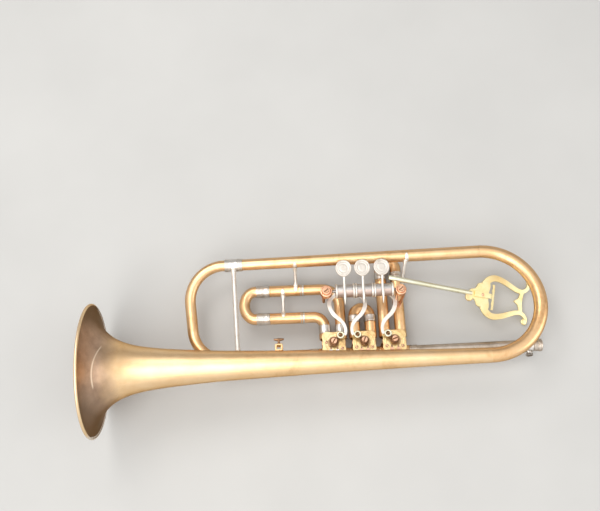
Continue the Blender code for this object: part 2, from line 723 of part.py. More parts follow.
def build_lever_stand():
    """The keys' hinge rod and the two posts that hold its ends."""
    start = (ROD_X[0] - 1, ROD_Y, ROD_Z)
    end = (ROD_X[1] + 1, ROD_Y, ROD_Z)
    keep(cylinder("lever_rod", start, end, ROD_RADIUS, 10), "steel")

    bend_x, bend_radius = THIRD_BENDS["upper"]
    bend = Vector((bend_x, THIRD_LEGS_Y[0] - bend_radius, TUBE_LEVEL))
    outward = Vector((math.cos(LEFT_FOOT_TURN), math.sin(LEFT_FOOT_TURN), 0))
    left_foot = bend + outward * (bend_radius - CROOK_RADIUS - 2.5 * GAP)
    left_leg = [(253, 76.5, 0.5), (252.2, 75.5, -13), (252.2, 76.6, -26), (252.3, 82, -32.4),
                left_foot - outward * 0.5]
    right_foot = Vector(RIGHT_FOOT)
    right_leg = [(336.8, 75.5, 0.5), (336.9, 74, -13), right_foot + Vector((0, 0, 0.5))]
    feet = {"left": (left_foot, -outward, left_leg), "right": (right_foot, Vector((0, 0, 1)), right_leg)}
    for side, (x, y, radius) in POSTS.items():
        name = f"lever_post_{side}"
        outline = ((0, POST_TOP), (radius - 1, POST_TOP), (radius, POST_TOP - 1),
                   (radius, POST_BASE), (0, POST_BASE))
        post = turned(name, outline, (x, y, 0), (0, 0, 1), 12)
        foot, up, leg = feet[side]
        pad = cylinder(f"{name}_pad", foot, foot + up * 1.4, 3.2)
        join(post, rod(f"{name}_leg", leg, [1.6] + [1.4] * (len(leg) - 2) + [1.6]), pad)
        blind, mouth = (ROD_X[0] - 1.4, x + 8) if side == "left" else (ROD_X[1] + 1.4, x - 8)
        cut(post, cylinder(f"{name}_bore", (blind, ROD_Y, ROD_Z), (mouth, ROD_Y, ROD_Z),
                           ROD_RADIUS + 0.4, 10))
        keep(post, "copper")


# ---------------------------------------------------------------- braces

def brace(name, start, end, feet, foot_radius=3.0, waist=1.5):
    """A turned strut between two tube axes, kept feet[0] and feet[1] away from them."""
    direction, length = span(start, end)
    low, high = feet[0] + GAP, length - feet[1] - GAP
    outline = (
        (0, high), (foot_radius, high), (foot_radius, high - 1), (waist + 0.5, high - 2.6),
        (waist, (low + high) / 2), (waist + 0.5, low + 2.6), (foot_radius, low + 1),
        (foot_radius, low), (0, low),
    )
    keep(turned(name, outline, start, direction, 10), "nickel_silver")


def top_tube_height(x):
    return blend(FERRULE_Z[1], 0, (x - FERRULE_X[1]) / (BELL_END - FERRULE_X[1]))


def build_braces():
    at_ferrule, at_bell = BELL_BRACE_X
    ferrule = (at_ferrule, TOP_Y, sum(FERRULE_Z) / 2)
    bell = (at_bell, 0, 0)
    brace("brace_bell", ferrule, bell, (MAIN_FERRULE_RADIUS + GAP, bell_radius(at_bell) + 0.5), 3.6, 2.2)
    upper, lower = THIRD_LEGS_Y
    x = TOP_BRACE_X
    top = (x, TOP_Y, top_tube_height(x))
    brace("brace_top_tube", top, (x, upper, TUBE_LEVEL), (6.5, SLEEVE_RADIUS))
    x = THIRD_BRACE_X
    legs = ((x, upper, TUBE_LEVEL), (x, lower, TUBE_LEVEL))
    brace("brace_third_slide", *legs, (SLEEVE_RADIUS, SLEEVE_RADIUS))
    x = POST_BRACE_X
    top = (x, TOP_Y, top_tube_height(x))
    post_x, post_y, post_radius = POSTS["right"]
    brace("brace_lever_post", top, (post_x, post_y, ROD_Z), (7.3, post_radius + 0.4), 2.6, 1.5)


# ---------------------------------------------------------------- lyre and its socket

def build_socket():
    """The lyre's holder on the bell, and its T-headed screw."""
    x, z = SOCKET_X, SOCKET_Z
    base = bell_radius(x) + GAP
    depth = SOCKET_SIZE[1]
    block = box("lyre_socket", SOCKET_SIZE, (x, base + depth / 2, z))
    slot = box("lyre_socket_slot", (SOCKET_HOLE, SOCKET_HOLE, 12), (x, base + depth / 2, z))
    cut(block, slot)
    keep(block, "brass")

    start = (x, base + depth + GAP, z)
    screw = cylinder("socket_screw", start, (x, base + depth + 5, z), 1.5, 10)
    head = box("socket_screw_head", (11, 3.2, 3.2), (x, base + depth + 5.6, z))
    join(screw, head)
    keep(screw, "brass")


def lyre_place():
    """The lyre's own frame: X along its shank, Z out of its flat face."""
    along = Vector(LYRE_AXIS).normalized()
    normal = Vector(LYRE_NORMAL)
    normal = (normal - along * normal.dot(along)).normalized()
    across = normal.cross(along)
    place = Matrix((along, across, normal)).transposed().to_4x4()
    return Matrix.Translation(LYRE_ORIGIN) @ place


def build_lyre():
    place = lyre_place()
    body = [(78, 4.2), (86, 6.4), (91, 12.6), (97, 15.2), (103.4, 13.0)]
    body += [(x, -y) for x, y in reversed(body)]
    lyre = plate("lyre_frame", body, LYRE_THICK, place)
    arm = smooth([(95, 12.0), (101, 18.8), (110, 22.2), (121, 20.6), (132, 16.0), (143, 12.0),
                  (150, 12.9), (154, 17.6), (154.4, 24.0)], 2)
    widths = [blend(8.0, 4.2, i / (len(arm) - 1)) for i in range(len(arm))]
    for side in (-1, 1):
        path = [(x, side * y) for x, y in arm]
        join(lyre, plate(f"lyre_arm_{side:+d}", strip(path, widths), LYRE_THICK - 0.2, place))
    bar = [(141.6, 12.4), (139.6, 4), (135.0, 0.8), (135.0, -0.8), (139.6, -4), (141.6, -12.4),
           (145.8, -11.6), (144.2, 0), (145.8, 11.6)]
    join(lyre, plate("lyre_bar", bar, LYRE_THICK - 0.4, place))
    ends = [place @ Vector((-19.5, 0, 0)), place @ Vector((80, 0, 0))]
    join(lyre, rod("lyre_shank", ends, [SHANK_RADIUS, SHANK_RADIUS], 8))
    hole = cylinder("lyre_pivot_hole", place @ Vector((94, 0, -4)), place @ Vector((94, 0, 4)), 1.7)
    cut(lyre, hole)
    keep(lyre, "lyre_brass")


def build_clip():
    """The sprung bar that holds the music against the frame, hinged on the frame's plate."""
    place = lyre_place() @ Matrix.Translation((0, 0, LYRE_THICK / 2 + GAP + 0.6))
    outline = [(84, 3.0), (90, 3.6), (102, 3.2), (105, 9.0), (104.6, 14.6), (107.6, 14.9),
               (109, 9.0), (109, -9.0), (107.6, -14.9), (104.6, -14.6), (105, -9.0),
               (102, -3.2), (90, -3.6), (84, -3.0)]
    clip = plate("lyre_clip", outline, 1.2, place)
    keep(clip, "lyre_brass")


# ---------------------------------------------------------------- resting pose

def tilt_to_rest(instrument):
    """Turn the level instrument so that the plane it rests on is horizontal."""
    slope_x, slope_y = REST_SLOPE
    normal = Vector((-slope_x, -slope_y, 1)).normalized()
    along = (Vector((1, 0, 0)) - normal * normal.x).normalized()
    across = normal.cross(along)
    turn = Matrix((along, across, normal)).to_4x4()
    instrument.matrix_world = turn
    bpy.context.view_layer.update()
    graph = bpy.context.evaluated_depsgraph_get()
    corners = []
    for obj in PARTS.objects:
        if obj == instrument:
            continue
        solid = obj.evaluated_get(graph)
        mesh = solid.to_mesh()
        corners += [solid.matrix_world @ vertex.co for vertex in mesh.vertices]
        solid.to_mesh_clear()
    middle = [(min(c[i] for c in corners) + max(c[i] for c in corners)) / 2 for i in range(2)]
    floor = min(c.z for c in corners)
    instrument.matrix_world = Matrix.Translation((-middle[0], -middle[1], -floor)) @ turn
    bpy.context.view_layer.update()


STUB_END = (VALVE_X[1] - VALVE_X[2]) / 2 - GAP / 2

clear_scene()
PARTS = make_collection("flugelhorn")
TOOLS = make_collection("tools")
MATERIALS = {name: make_finish(name) for name in FINISHES}
INSTRUMENT = bpy.data.objects.new("instrument", None)
PARTS.objects.link(INSTRUMENT)

build_bell()
build_bows()
build_small_bow()
build_leadpipe()
build_clamp()
for valve in VALVE_X:
    build_casing(valve)
    build_valve_bottom(valve)
    build_rotor(valve)
    build_stop_arm(valve)
    build_key(valve)
    build_link(valve)
    build_spring(valve)
build_first_slide()
build_second_slide()
build_third_slide()
build_lever_stand()
build_braces()
build_socket()
build_lyre()
build_clip()
tilt_to_rest(INSTRUMENT)
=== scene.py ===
"""Looks of the rotary-valve flugelhorn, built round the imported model.

Shapes are in millimetres in the instrument's level frame: X runs along the bell from its mouth
to the player's end, Y from the bell to the top tube, and Z up through the keys. LEVEL turns that
frame into the row's. Every mesh is stored in metres in the level frame.
"""

import json
from math import asin, cos, degrees, pi, radians, sin, sqrt, tan

import bmesh
import bpy
from mathutils import Matrix, Vector


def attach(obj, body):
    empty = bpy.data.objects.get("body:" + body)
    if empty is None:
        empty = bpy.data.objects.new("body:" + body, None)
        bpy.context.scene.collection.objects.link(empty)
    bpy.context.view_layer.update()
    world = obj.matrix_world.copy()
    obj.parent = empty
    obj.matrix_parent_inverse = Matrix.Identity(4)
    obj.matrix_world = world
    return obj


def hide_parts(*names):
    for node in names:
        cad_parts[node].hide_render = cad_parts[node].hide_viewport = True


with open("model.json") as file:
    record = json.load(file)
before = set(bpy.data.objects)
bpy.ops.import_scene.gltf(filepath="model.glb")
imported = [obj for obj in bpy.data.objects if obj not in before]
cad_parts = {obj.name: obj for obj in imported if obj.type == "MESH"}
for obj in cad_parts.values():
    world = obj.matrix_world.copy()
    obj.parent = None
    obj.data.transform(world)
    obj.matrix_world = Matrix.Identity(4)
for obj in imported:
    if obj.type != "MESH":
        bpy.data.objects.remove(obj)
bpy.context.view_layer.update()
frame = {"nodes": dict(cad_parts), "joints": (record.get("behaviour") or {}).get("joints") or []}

MM = 0.001
X_AXIS, UP = (1, 0, 0), (0, 0, 1)

# ---- sizes

TUBE_LEVEL = -34.0
CROOK = 6.0                      # outside radius of the small tubing
SLEEVE = 6.25                    # outer slide tubes
LEG = 5.35                       # inner slide tubes
WALL = 0.5
BOW_X, BOW_RADIUS = 428.7, 60.25
TOP_Y = 2 * BOW_RADIUS
BELL_END = 427.4
BELL_PROFILE = (
    (427.4, 8.0), (356, 9.3), (265, 11.8), (180, 14.7), (137, 16.4), (94, 19.4), (73, 21.4),
    (52, 24.6), (37, 28.6), (25, 34.2), (15, 42.4), (8, 52.0), (3.6, 62.0), (1.9, 70.0),
)
FERRULE_X, FERRULE_Z = (141.5, 161.5), (-12.2, -11.7)
SMALL_BOW_RADII, SMALL_BOW_LEAN = (38.7, 32.0), 5.3
FIRST_FERRULE, FIRST_LEG = (104.0, 112.0), 50.0
SECOND_FERRULE = (54.0, 61.5)
THIRD_FERRULE, THIRD_LEG = (175.6, 190.4), 52.0
THIRD_CROOK_DEPTH = 12.6
VALVE_X = {1: 328.0, 2: 294.5, 3: 261.0}
VALVE_SIDE = {1: -1, 2: -1, 3: 1}
VALVE_Y = 27.0
PORT_OFFSET = 9.0
PORT_Y = VALVE_Y - PORT_OFFSET
CASING_TOP, CASING_BOTTOM = -20.5, -49.0
STUB_END = 16.6
STUB_REACH = 14.0
STUB_TOP = VALVE_Y + STUB_REACH + 0.3
ARM_RADIUS = 8.7
STOP_ENDS = {-1: (-46.9, 136.9), 1: (43.1, 226.9)}     # degrees, by the arm's side
SLOT_TURN = {1: 20, 2: 70, 3: 60}                      # degrees
SLOT_SHARE = 0.2                 # a slot's width, of its screw's
RING_OFFSET = 7.4
ROD_Y, ROD_Z = 78.0, 4.0
ROD_X = (254.6, 337.4)
BARREL_RADIUS = 7.2
POSTS = {"left": (254.6, 78.0, 6.8), "right": (336.6, 76.8, 6.2)}
POST_TOP = 8.6
BARREL_X = {1: (306.9, 328.4), 2: (286.3, 306.6), 3: (264.8, 286.0)}
DISC_X = {1: 316.3, 2: 295.0, 3: 274.5}
DISC_Y, DISC_Z = 100.3, 16.0
DISC_HALF = (8.8, 9.8)
EAR_LENGTH, EAR_LEAN = 18.0, radians(20)
LINK_PATH = (
    (3.4, 82.0), (4.3, 79.2), (7.2, 76.9), (9.9, 73.4), (10.6, 68.2), (9.0, 62.0), (5.6, 56.4),
    (0.8, 51.8), (-3.2, 47.3), (-5.6, 41.5), (-5.8, 36.0), (-4.5, 32.7), (-2.8, 31.0),
)
THIRD_Y = {"upper": 95.3, "lower": 62.0}
THIRD_BENDS = {"upper": (250.0, 20.0), "lower": (240.0, 12.0)}
LEAD_START, LEAD_END = (344.9, 18.0, TUBE_LEVEL), (482.0, 18.9, TUBE_LEVEL)
CLAMP_X = 477.5
SOCKET_X, SOCKET_Z = 200.6, -4.0
BELL_BRACE_X = (151.0, 157.0)    # at the ferrule and at the bell
TOP_BRACE_X, THIRD_BRACE_X, POST_BRACE_X = 221.0, 206.0, 347.0
LYRE_ORIGIN = (341.9, 86.4, 7.6)
LYRE_AXIS, LYRE_NORMAL = (0.9449, -0.1091, -0.3091), (0.2768, -0.2390, 0.9307)


def level_frame():
    """The level frame's place in the row, from the first key's hinge and the first rotor's axis."""
    joints = {joint["name"]: joint for joint in frame["joints"]}
    along = -Vector(joints["key_1_press"]["axis"])
    up = Vector(joints["rotor_1_turn"]["axis"])
    across = up.cross(along).normalized()
    turn = Matrix((along, across, along.cross(across))).transposed()
    pivot = Vector((VALVE_X[1], VALVE_Y, TUBE_LEVEL)) * MM
    start = Vector(joints["rotor_1_turn"]["pos_m"]) - turn @ pivot
    return Matrix.Translation(start) @ turn.to_4x4()


LEVEL = level_frame()

# ---- shapes

def show(name, data):
    """A new object in the scene."""
    obj = bpy.data.objects.new(name, data)
    bpy.context.scene.collection.objects.link(obj)
    return obj


def lerp(start, end, t):
    return start + (end - start) * t


def spread(start, end, steps):
    """Values from start to end in equal steps."""
    return [lerp(start, end, i / steps) for i in range(steps + 1)]


def turns(count):
    """Equal angles round a circle."""
    return [2 * pi * i / count for i in range(count)]


def arc(centre, radius, start, end, steps):
    """Points on a circle from one angle to another, in degrees."""
    return [(centre[0] + radius * cos(radians(a)), centre[1] + radius * sin(radians(a)))
            for a in spread(start, end, steps)]


def smooth(points, steps):
    """A curve through the points, with its knots spaced by the root of their distance."""
    points = [Vector(point) for point in points]
    ends = [points[0] * 2 - points[1], *points, points[-1] * 2 - points[-2]]
    curve = []
    for four in zip(ends, ends[1:], ends[2:], ends[3:]):
        knots = [0.0]
        for before, after in zip(four, four[1:]):
            knots.append(knots[-1] + max((after - before).length, 1e-6) ** 0.5)
        for i in range(steps):
            t, mixed = lerp(knots[1], knots[2], i / steps), four
            for spans in (((0, 1), (1, 2), (2, 3)), ((0, 2), (1, 3)), ((1, 2),)):
                mixed = [lerp(mixed[k], mixed[k + 1], (t - knots[a]) / (knots[b] - knots[a]))
                         for k, (a, b) in enumerate(spans)]
            curve.append(mixed[0])
    return curve + [points[-1]]


def strip(points, widths):
    """The outline of a flat bar along a flat path, with a width at each point."""
    left, right = [], []
    for i, point in enumerate(points):
        before, after = points[max(i - 1, 0)], points[min(i + 1, len(points) - 1)]
        along = (Vector(after) - Vector(before)).normalized() * widths[i] / 2
        left.append((point[0] - along.y, point[1] + along.x))
        right.append((point[0] + along.y, point[1] - along.x))
    return left + right[::-1]


def rounded(outline, radius, closed=False):
    """An outline with its corners rounded off."""
    points = [Vector(point) for point in outline]
    count = len(points)
    result = []
    for i, point in enumerate(points):
        before, after = points[i - 1] - point, points[(i + 1) % count] - point
        corner = (closed or 0 < i < count - 1) and min(before.length, after.length) > 1e-6
        if not corner or before.angle(after) > radians(165):
            result.append(point)
            continue
        back = min(radius, before.length * 0.45, after.length * 0.45)
        start, end = point + before.normalized() * back, point + after.normalized() * back
        for t in (0, 1 / 3, 2 / 3, 1):
            result.append(start * (1 - t) ** 2 + point * 2 * t * (1 - t) + end * t * t)
    return result


def basis(direction):
    """Two directions across a direction, as the columns of a turn whose Z runs along it."""
    return Vector(direction).to_track_quat("Z", "Y").to_matrix()


class Shape:
    """A mesh under construction, in millimetres, whose UV map holds metres along the grain."""

    def __init__(self):
        self.mesh = bmesh.new()
        self.uv = self.mesh.loops.layers.uv.new("grain")

    def grid(self, rings, uvs, wrap_rings):
        """Faces between rings of vertices. A ring of one vertex is a pole."""
        pairs = list(zip(range(len(rings)), range(1, len(rings))))
        if wrap_rings:
            pairs.append((len(rings) - 1, 0))
        for a, b in pairs:
            first, second = rings[a], rings[b]
            sides = max(len(first), len(second))
            step = uvs[b] if b > a else uvs[a]
            for i in range(sides):
                corners = {}
                for ring, j, uv in ((first, i, uvs[a]), (first, i + 1, uvs[a]), (second, i + 1, step),
                                    (second, i, step)):
                    corners.setdefault(ring[j % len(ring)], (uv[0], j / sides * uv[1]))
                if len(corners) > 2:
                    face = self.mesh.faces.new(list(corners))
                    face.smooth = True
                    for loop, uv in zip(face.loops, corners.values()):
                        loop[self.uv].uv = uv

    def rings(self, outline, sides, place):
        """Rings of vertices, from (radius, height) pairs and the place of each with its angle."""
        return [[self.mesh.verts.new(place(radius, height, a))
                 for a in (turns(sides) if radius > 1e-6 else [0])] for radius, height in outline]

    def lathe(self, outline, start, direction, sides=64, closed=False):
        """A turned shape from (radius, height) pairs. Its grain runs round it."""
        turn, start = basis(direction), Vector(start)
        rings = self.rings(outline, sides,
                           lambda r, h, a: start + turn @ Vector((r * cos(a), r * sin(a), h)))
        travelled = [0.0]
        for before, point in zip(outline, outline[1:]):
            travelled.append(travelled[-1] + (Vector(point) - Vector(before)).length)
        self.grid(rings, [(way * MM, 2 * pi * 10 * MM) for way in travelled], closed)
        return self

    def sweep(self, path, radii, sides=48, wall=None, flat=1.0):
        """A round or oval bar, or a tube, along a path. Its grain runs along it."""
        path = [Vector(point) for point in path]
        tangents = []
        for i in range(len(path)):
            tangents.append((path[min(i + 1, len(path) - 1)] - path[max(i - 1, 0)]).normalized())
        across = basis(tangents[0]).col[0]
        rings, inner, uvs, travelled = [], [], [], 0.0
        for i, (point, along) in enumerate(zip(path, tangents)):
            across = (across - along * across.dot(along)).normalized()
            other = along.cross(across)
            travelled += (point - path[i - 1]).length if i else 0
            circle = [across * cos(a) + other * sin(a) * flat for a in turns(sides)]
            rings.append([self.mesh.verts.new(point + way * radii[i]) for way in circle])
            if wall:
                inner.append([self.mesh.verts.new(point + way * (radii[i] - wall)) for way in circle])
            uvs.append((travelled * MM, 2 * pi * 6 * MM))
        if wall:
            self.grid(rings + inner[::-1], uvs + uvs[::-1], True)
        else:
            for ring in (rings[0], rings[-1]):
                self.mesh.faces.new(ring).smooth = True
            self.grid(rings, uvs, False)
        return self

    def turned(self, outline, edge, start, direction, sides=64, closed=False):
        """A turned shape with its outline's corners rounded off."""
        return self.lathe(rounded(outline, edge, closed), start, direction, sides, closed)

    def bar(self, start, end, radius, sides=32):
        way = Vector(end) - Vector(start)
        return self.turned(((0, 0), (radius, 0), (radius, way.length), (0, way.length)), radius * 0.25,
                           start, way, sides)

    def plate(self, outlines, thickness, place, bevel=0.35):
        """A flat plate with rounded edges. Outlines after the first are holes."""
        curve = bpy.data.curves.new("plate", "CURVE")
        curve.dimensions = "2D"
        curve.fill_mode = "BOTH"
        curve.extrude = (thickness / 2 - bevel)
        curve.bevel_depth = bevel
        curve.bevel_resolution = 2
        curve.offset = -bevel
        for outline in outlines:
            spline = curve.splines.new("POLY")
            spline.points.add(len(outline) - 1)
            for knot, point in zip(spline.points, outline):
                knot.co = (point[0], point[1], 0, 1)
            spline.use_cyclic_u = True
        obj = show("plate", curve)
        graph = bpy.context.evaluated_depsgraph_get()
        mesh = bpy.data.meshes.new_from_object(obj.evaluated_get(graph))
        bpy.data.objects.remove(obj)
        piece = bmesh.new()
        piece.from_mesh(mesh)
        bmesh.ops.remove_doubles(piece, verts=piece.verts, dist=1e-4)
        copies = {}
        for vertex in piece.verts:
            copies[vertex.index] = (self.mesh.verts.new(place @ vertex.co), vertex.co.copy())
        for face in piece.faces:
            pairs = [copies[vertex.index] for vertex in face.verts]
            try:
                made = self.mesh.faces.new([v for v, _ in pairs])
            except ValueError:
                continue
            made.smooth = True
            for loop, (_, co) in zip(made.loops, pairs):
                loop[self.uv].uv = (co.x * MM, co.y * MM)
        piece.free()
        bpy.data.meshes.remove(mesh)
        return self

    def flange(self, point, along, outward, radius, half, angle, rise=0.8):
        """An oval pad soldered on a tube's side, half long along it and angle wide round it."""
        point, along = Vector(point), Vector(along).normalized()
        outward = Vector(outward)
        outward = (outward - along * outward.dot(along)).normalized()
        across, wide = along.cross(outward), radians(angle)

        def place(scale, height, a):
            turn = wide * scale * sin(a)
            way = outward * cos(turn) + across * sin(turn)
            return point + along * half * scale * cos(a) + way * (radius + height * rise)

        pad = ((0, -0.2), (1, -0.2), (1, 0.3), (0.93, 0.62), (0.8, 0.8), (0.4, 1), (0, 1))
        self.grid(self.rings(pad, 32, place), [(scale * half * MM, 0.02) for scale, _ in pad], False)
        return self

    def block(self, size, centre, bevel):
        cube = bmesh.ops.create_cube(self.mesh, size=1)["verts"]
        bmesh.ops.scale(self.mesh, vec=Vector(size), verts=cube)
        edges = list({edge for vertex in cube for edge in vertex.link_edges})
        made = bmesh.ops.bevel(self.mesh, geom=edges, offset=bevel, segments=2, affect="EDGES")
        verts = list({v for face in made["faces"] for v in face.verts} | {v for v in cube if v.is_valid})
        for face in {face for vertex in verts for face in vertex.link_faces}:
            face.smooth = True
            for loop in face.loops:
                loop[self.uv].uv = (loop.vert.co.x * MM, loop.vert.co.y * MM)
        bmesh.ops.translate(self.mesh, vec=Vector(centre), verts=verts)

    def done(self, name, finish, node=None, body="instrument", flat=False):
        """Make the piece: its mesh in metres, its finish, the node it stands for, and its body."""
        bmesh.ops.recalc_face_normals(self.mesh, faces=self.mesh.faces)
        bmesh.ops.scale(self.mesh, vec=(MM, MM, MM), verts=self.mesh.verts)
        mesh = bpy.data.meshes.new(name)
        self.mesh.to_mesh(mesh)
        self.mesh.free()
        mesh.set_sharp_from_angle(angle=radians(40))
        obj = show(name, mesh)
        obj.matrix_world = LEVEL
        if flat:
            normals = obj.modifiers.new("Normals", "WEIGHTED_NORMAL")
            normals.keep_sharp = True
            normals.weight = 80
        obj.data.materials.append(FINISHES[finish][0])
        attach(obj, body)
        if node:
            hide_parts(node)


# ---- materials

GRAIN_DEPTH = 0.00001            # metres
GLANCE_COLOUR = (0.42, 0.32, 0.22)     # what a metal reflects at a glance


class Graph:
    """The nodes of a material, or of a world."""

    def __init__(self, name, world=None):
        self.material = world or bpy.data.materials.new(name)
        self.material.use_nodes = True
        self.tree = self.material.node_tree
        self.shader = self.tree.nodes["Background" if world else "Principled BSDF"]
        self.texture = self.add("ShaderNodeTexCoord").outputs
        self.place = self.texture["Object"]

    def add(self, kind, **settings):
        node = self.tree.nodes.new(kind)
        for key, value in settings.items():
            setattr(node, key, value)
        return node

    def feed(self, socket, value):
        """Link or set an input. A colour of three numbers gets its fourth."""
        if isinstance(value, bpy.types.NodeSocket):
            self.tree.links.new(value, socket)
        elif socket.type == "RGBA" and len(value) == 3:
            socket.default_value = (*value, 1)
        else:
            socket.default_value = value

    def set(self, node, **inputs):
        for key, value in inputs.items():
            self.feed(node.inputs[key.replace("_", " ")], value)
        return node

    def noise(self, vector, scale, detail=4.0, roughness=0.55, distortion=0.0):
        node = self.set(self.add("ShaderNodeTexNoise"), Vector=vector, Scale=scale, Detail=detail,
                        Roughness=roughness, Distortion=distortion)
        return node.outputs["Fac"]

    def ramp(self, value, *stops):
        """A ramp of (position, number or colour) stops."""
        node = self.add("ShaderNodeValToRGB")
        ramp = node.color_ramp
        while len(ramp.elements) < len(stops):
            ramp.elements.new(0.5)
        for element, (position, colour) in zip(ramp.elements, stops):
            element.position = position
            element.color = (*colour, 1) if isinstance(colour, tuple) else (colour, colour, colour, 1)
        return self.set(node, Fac=value).outputs["Color"]

    def mix(self, factor, first, second):
        node = self.add("ShaderNodeMix", data_type="RGBA")
        for index, value in ((0, factor), (6, first), (7, second)):
            self.feed(node.inputs[index], value)
        return node.outputs[2]

    def math(self, operation, *values):
        node = self.add("ShaderNodeMath", operation=operation)
        for socket, value in zip(node.inputs, values):
            self.feed(socket, value)
        return node.outputs[0]

    def plus(self, first, second):
        return self.math("ADD", first, second)

    def times(self, first, second):
        return self.math("MULTIPLY", first, second)

    def split(self):
        """The level frame's X, Y and Z of a place on the piece, in metres."""
        return self.set(self.add("ShaderNodeSeparateXYZ"), Vector=self.place).outputs

    def bump(self, height, distance, before=None):
        node = self.set(self.add("ShaderNodeBump"), Height=height, Distance=distance, Strength=1.0)
        if before:
            self.set(node, Normal=before)
        return node.outputs["Normal"]


def metal(name, light, mid, dark, stain, rough, blotch=38.0, dents=0.3, speck=0.16):
    """Old polished metal: cloudy tarnish, specks, a drawn grain, small dents and uneven gloss."""
    graph = Graph(name)
    cloud = graph.noise(graph.place, blotch, 6, 0.62, 0.4)
    fine = graph.noise(graph.place, blotch * 7, 5, 0.6)
    tone = graph.plus(graph.times(cloud, 0.75), graph.times(fine, 0.25))
    colour = graph.ramp(tone, (0.30, dark), (0.46, mid), (0.66, light))
    specks = graph.ramp(graph.noise(graph.place, 620, 3, 0.6), (0.62, 0.0), (0.74, speck))
    colour = graph.mix(specks, colour, stain)
    grain = graph.add("ShaderNodeUVMap", uv_map="grain").outputs["UV"]
    drawn = graph.set(graph.add("ShaderNodeMapping"), Vector=grain, Scale=(60, 2600, 1))
    lines = graph.noise(drawn.outputs["Vector"], 1.0, 4, 0.7)
    colour = graph.mix(graph.ramp(lines, (0.42, 0.10), (0.6, 0.0)), colour, dark)
    gloss = graph.plus(graph.times(fine, 0.5), graph.times(lines, 0.5))
    roughness = graph.ramp(gloss, (0.35, rough[0]), (0.65, rough[1]))
    bump = graph.bump(graph.noise(graph.place, 55, 2, 0.4), 0.0008 * dents)
    bump = graph.bump(lines, GRAIN_DEPTH, bump)
    graph.set(graph.shader, Base_Color=colour, Roughness=roughness, Normal=bump, Metallic=1.0,
              Specular_Tint=GLANCE_COLOUR)
    return graph


def bell_metal(*look):
    """The bell's brass, duller and browner over the flare, with painted shade at the flare's sides, a painted
    glint line over its top, and a clean, rubbed rim whose lower half is whitened as a painted highlight.
    """
    graph = metal("bell_brass", *look)
    shader = graph.shader.inputs
    colour, roughness = (shader[name].links[0].from_socket for name in ("Base Color", "Roughness"))
    split = graph.split()
    cloud = graph.noise(graph.place, 16, 5, 0.6, 0.6)
    edge = graph.plus(split["X"], graph.times(cloud, -0.030))
    patina = graph.ramp(graph.times(edge, 10.0), (0.0, 0.85), (0.08, 0.55), (0.20, 0.0))
    brown = graph.ramp(graph.noise(graph.place, 60, 6, 0.6), (0.32, (0.30, 0.20, 0.16)),
                       (0.66, (0.54, 0.38, 0.29)))
    # Painted shade: the flare's browns turn almost black towards its sides, at large Y.
    sides = graph.ramp(graph.times(graph.math("ABSOLUTE", split["Y"]), 10.0), (0.26, 0.0), (0.50, 0.88))
    brown = graph.mix(sides, brown, (0.12, 0.085, 0.08))
    colour = graph.mix(patina, colour, brown)

    # Painted glint: a thin, light, curved line over the top of the flare, limited to its upper side.
    bend = graph.plus(graph.times(split["Y"], 1000.0), 17.0)
    line = graph.plus(graph.times(graph.times(bend, bend), 0.0061), 11.4)
    away = graph.math("SUBTRACT", graph.times(split["X"], 1000.0), line)
    painted_glint_line = graph.ramp(graph.math("ABSOLUTE", away), (0.25, 0.75), (0.8, 0.0))
    painted_glint_line = graph.times(painted_glint_line, graph.ramp(graph.times(split["Z"], 25.0), (0.88, 0.0), (0.95, 1.0)))
    colour = graph.mix(painted_glint_line, colour, (1.0, 0.84, 0.66))

    across = graph.set(graph.add("ShaderNodeVectorMath", operation="MULTIPLY"), Vector=graph.place)
    across.inputs[1].default_value = (0, 1, 1)
    radius = graph.add("ShaderNodeVectorMath", operation="LENGTH")
    graph.feed(radius.inputs[0], across.outputs["Vector"])
    height = graph.times(split["Z"], 10.0)
    # Painted highlight: the rim band is widened on the bell's lower half and turns whiter below its middle.
    # Higher up its gold is the clean, rubbed rim.
    low_rim_glint = graph.ramp(graph.plus(height, 0.5), (0.38, 0.014), (0.50, 0.0))
    rim = graph.plus(graph.times(radius.outputs["Value"], 10.0), low_rim_glint)
    rim_wear_and_highlight = graph.ramp(height, (0.0, (1.0, 0.95, 0.88)), (0.15, (0.94, 0.72, 0.46)))
    colour = graph.mix(graph.ramp(rim, (0.696, 0.0), (0.703, 1.0)), colour, rim_wear_and_highlight)
    graph.set(graph.shader, Base_Color=colour, Roughness=graph.mix(patina, roughness, (0.42, 0.42, 0.42)))
    return graph


def barrel_metal(*look):
    """The key barrels' grey nickel silver, with a painted reflection of the brass below: the front side is
    mixed towards pinkish brown.
    """
    graph = metal("barrel", *look)
    colour = graph.shader.inputs["Base Color"].links[0].from_socket
    # Painted reflection: the front side, at lower Y, is mixed towards pinkish brown.
    front = graph.ramp(graph.times(graph.split()["Y"], 10.0), (0.755, 0.75), (0.775, 0.0))
    graph.set(graph.shader, Base_Color=graph.mix(front, colour, (0.50, 0.36, 0.30)))
    return graph


def soft(name, light, dark, rough):
    """Cork: a matte, grainy solid."""
    graph = Graph(name)
    grains = graph.noise(graph.place, 300.0, 6, 0.7)
    graph.set(graph.shader, Base_Color=graph.ramp(grains, (0.35, dark), (0.65, light)),
              Roughness=graph.ramp(grains, (0.3, rough), (0.7, rough - 0.15)),
              Normal=graph.bump(grains, 0.0002))
    return graph


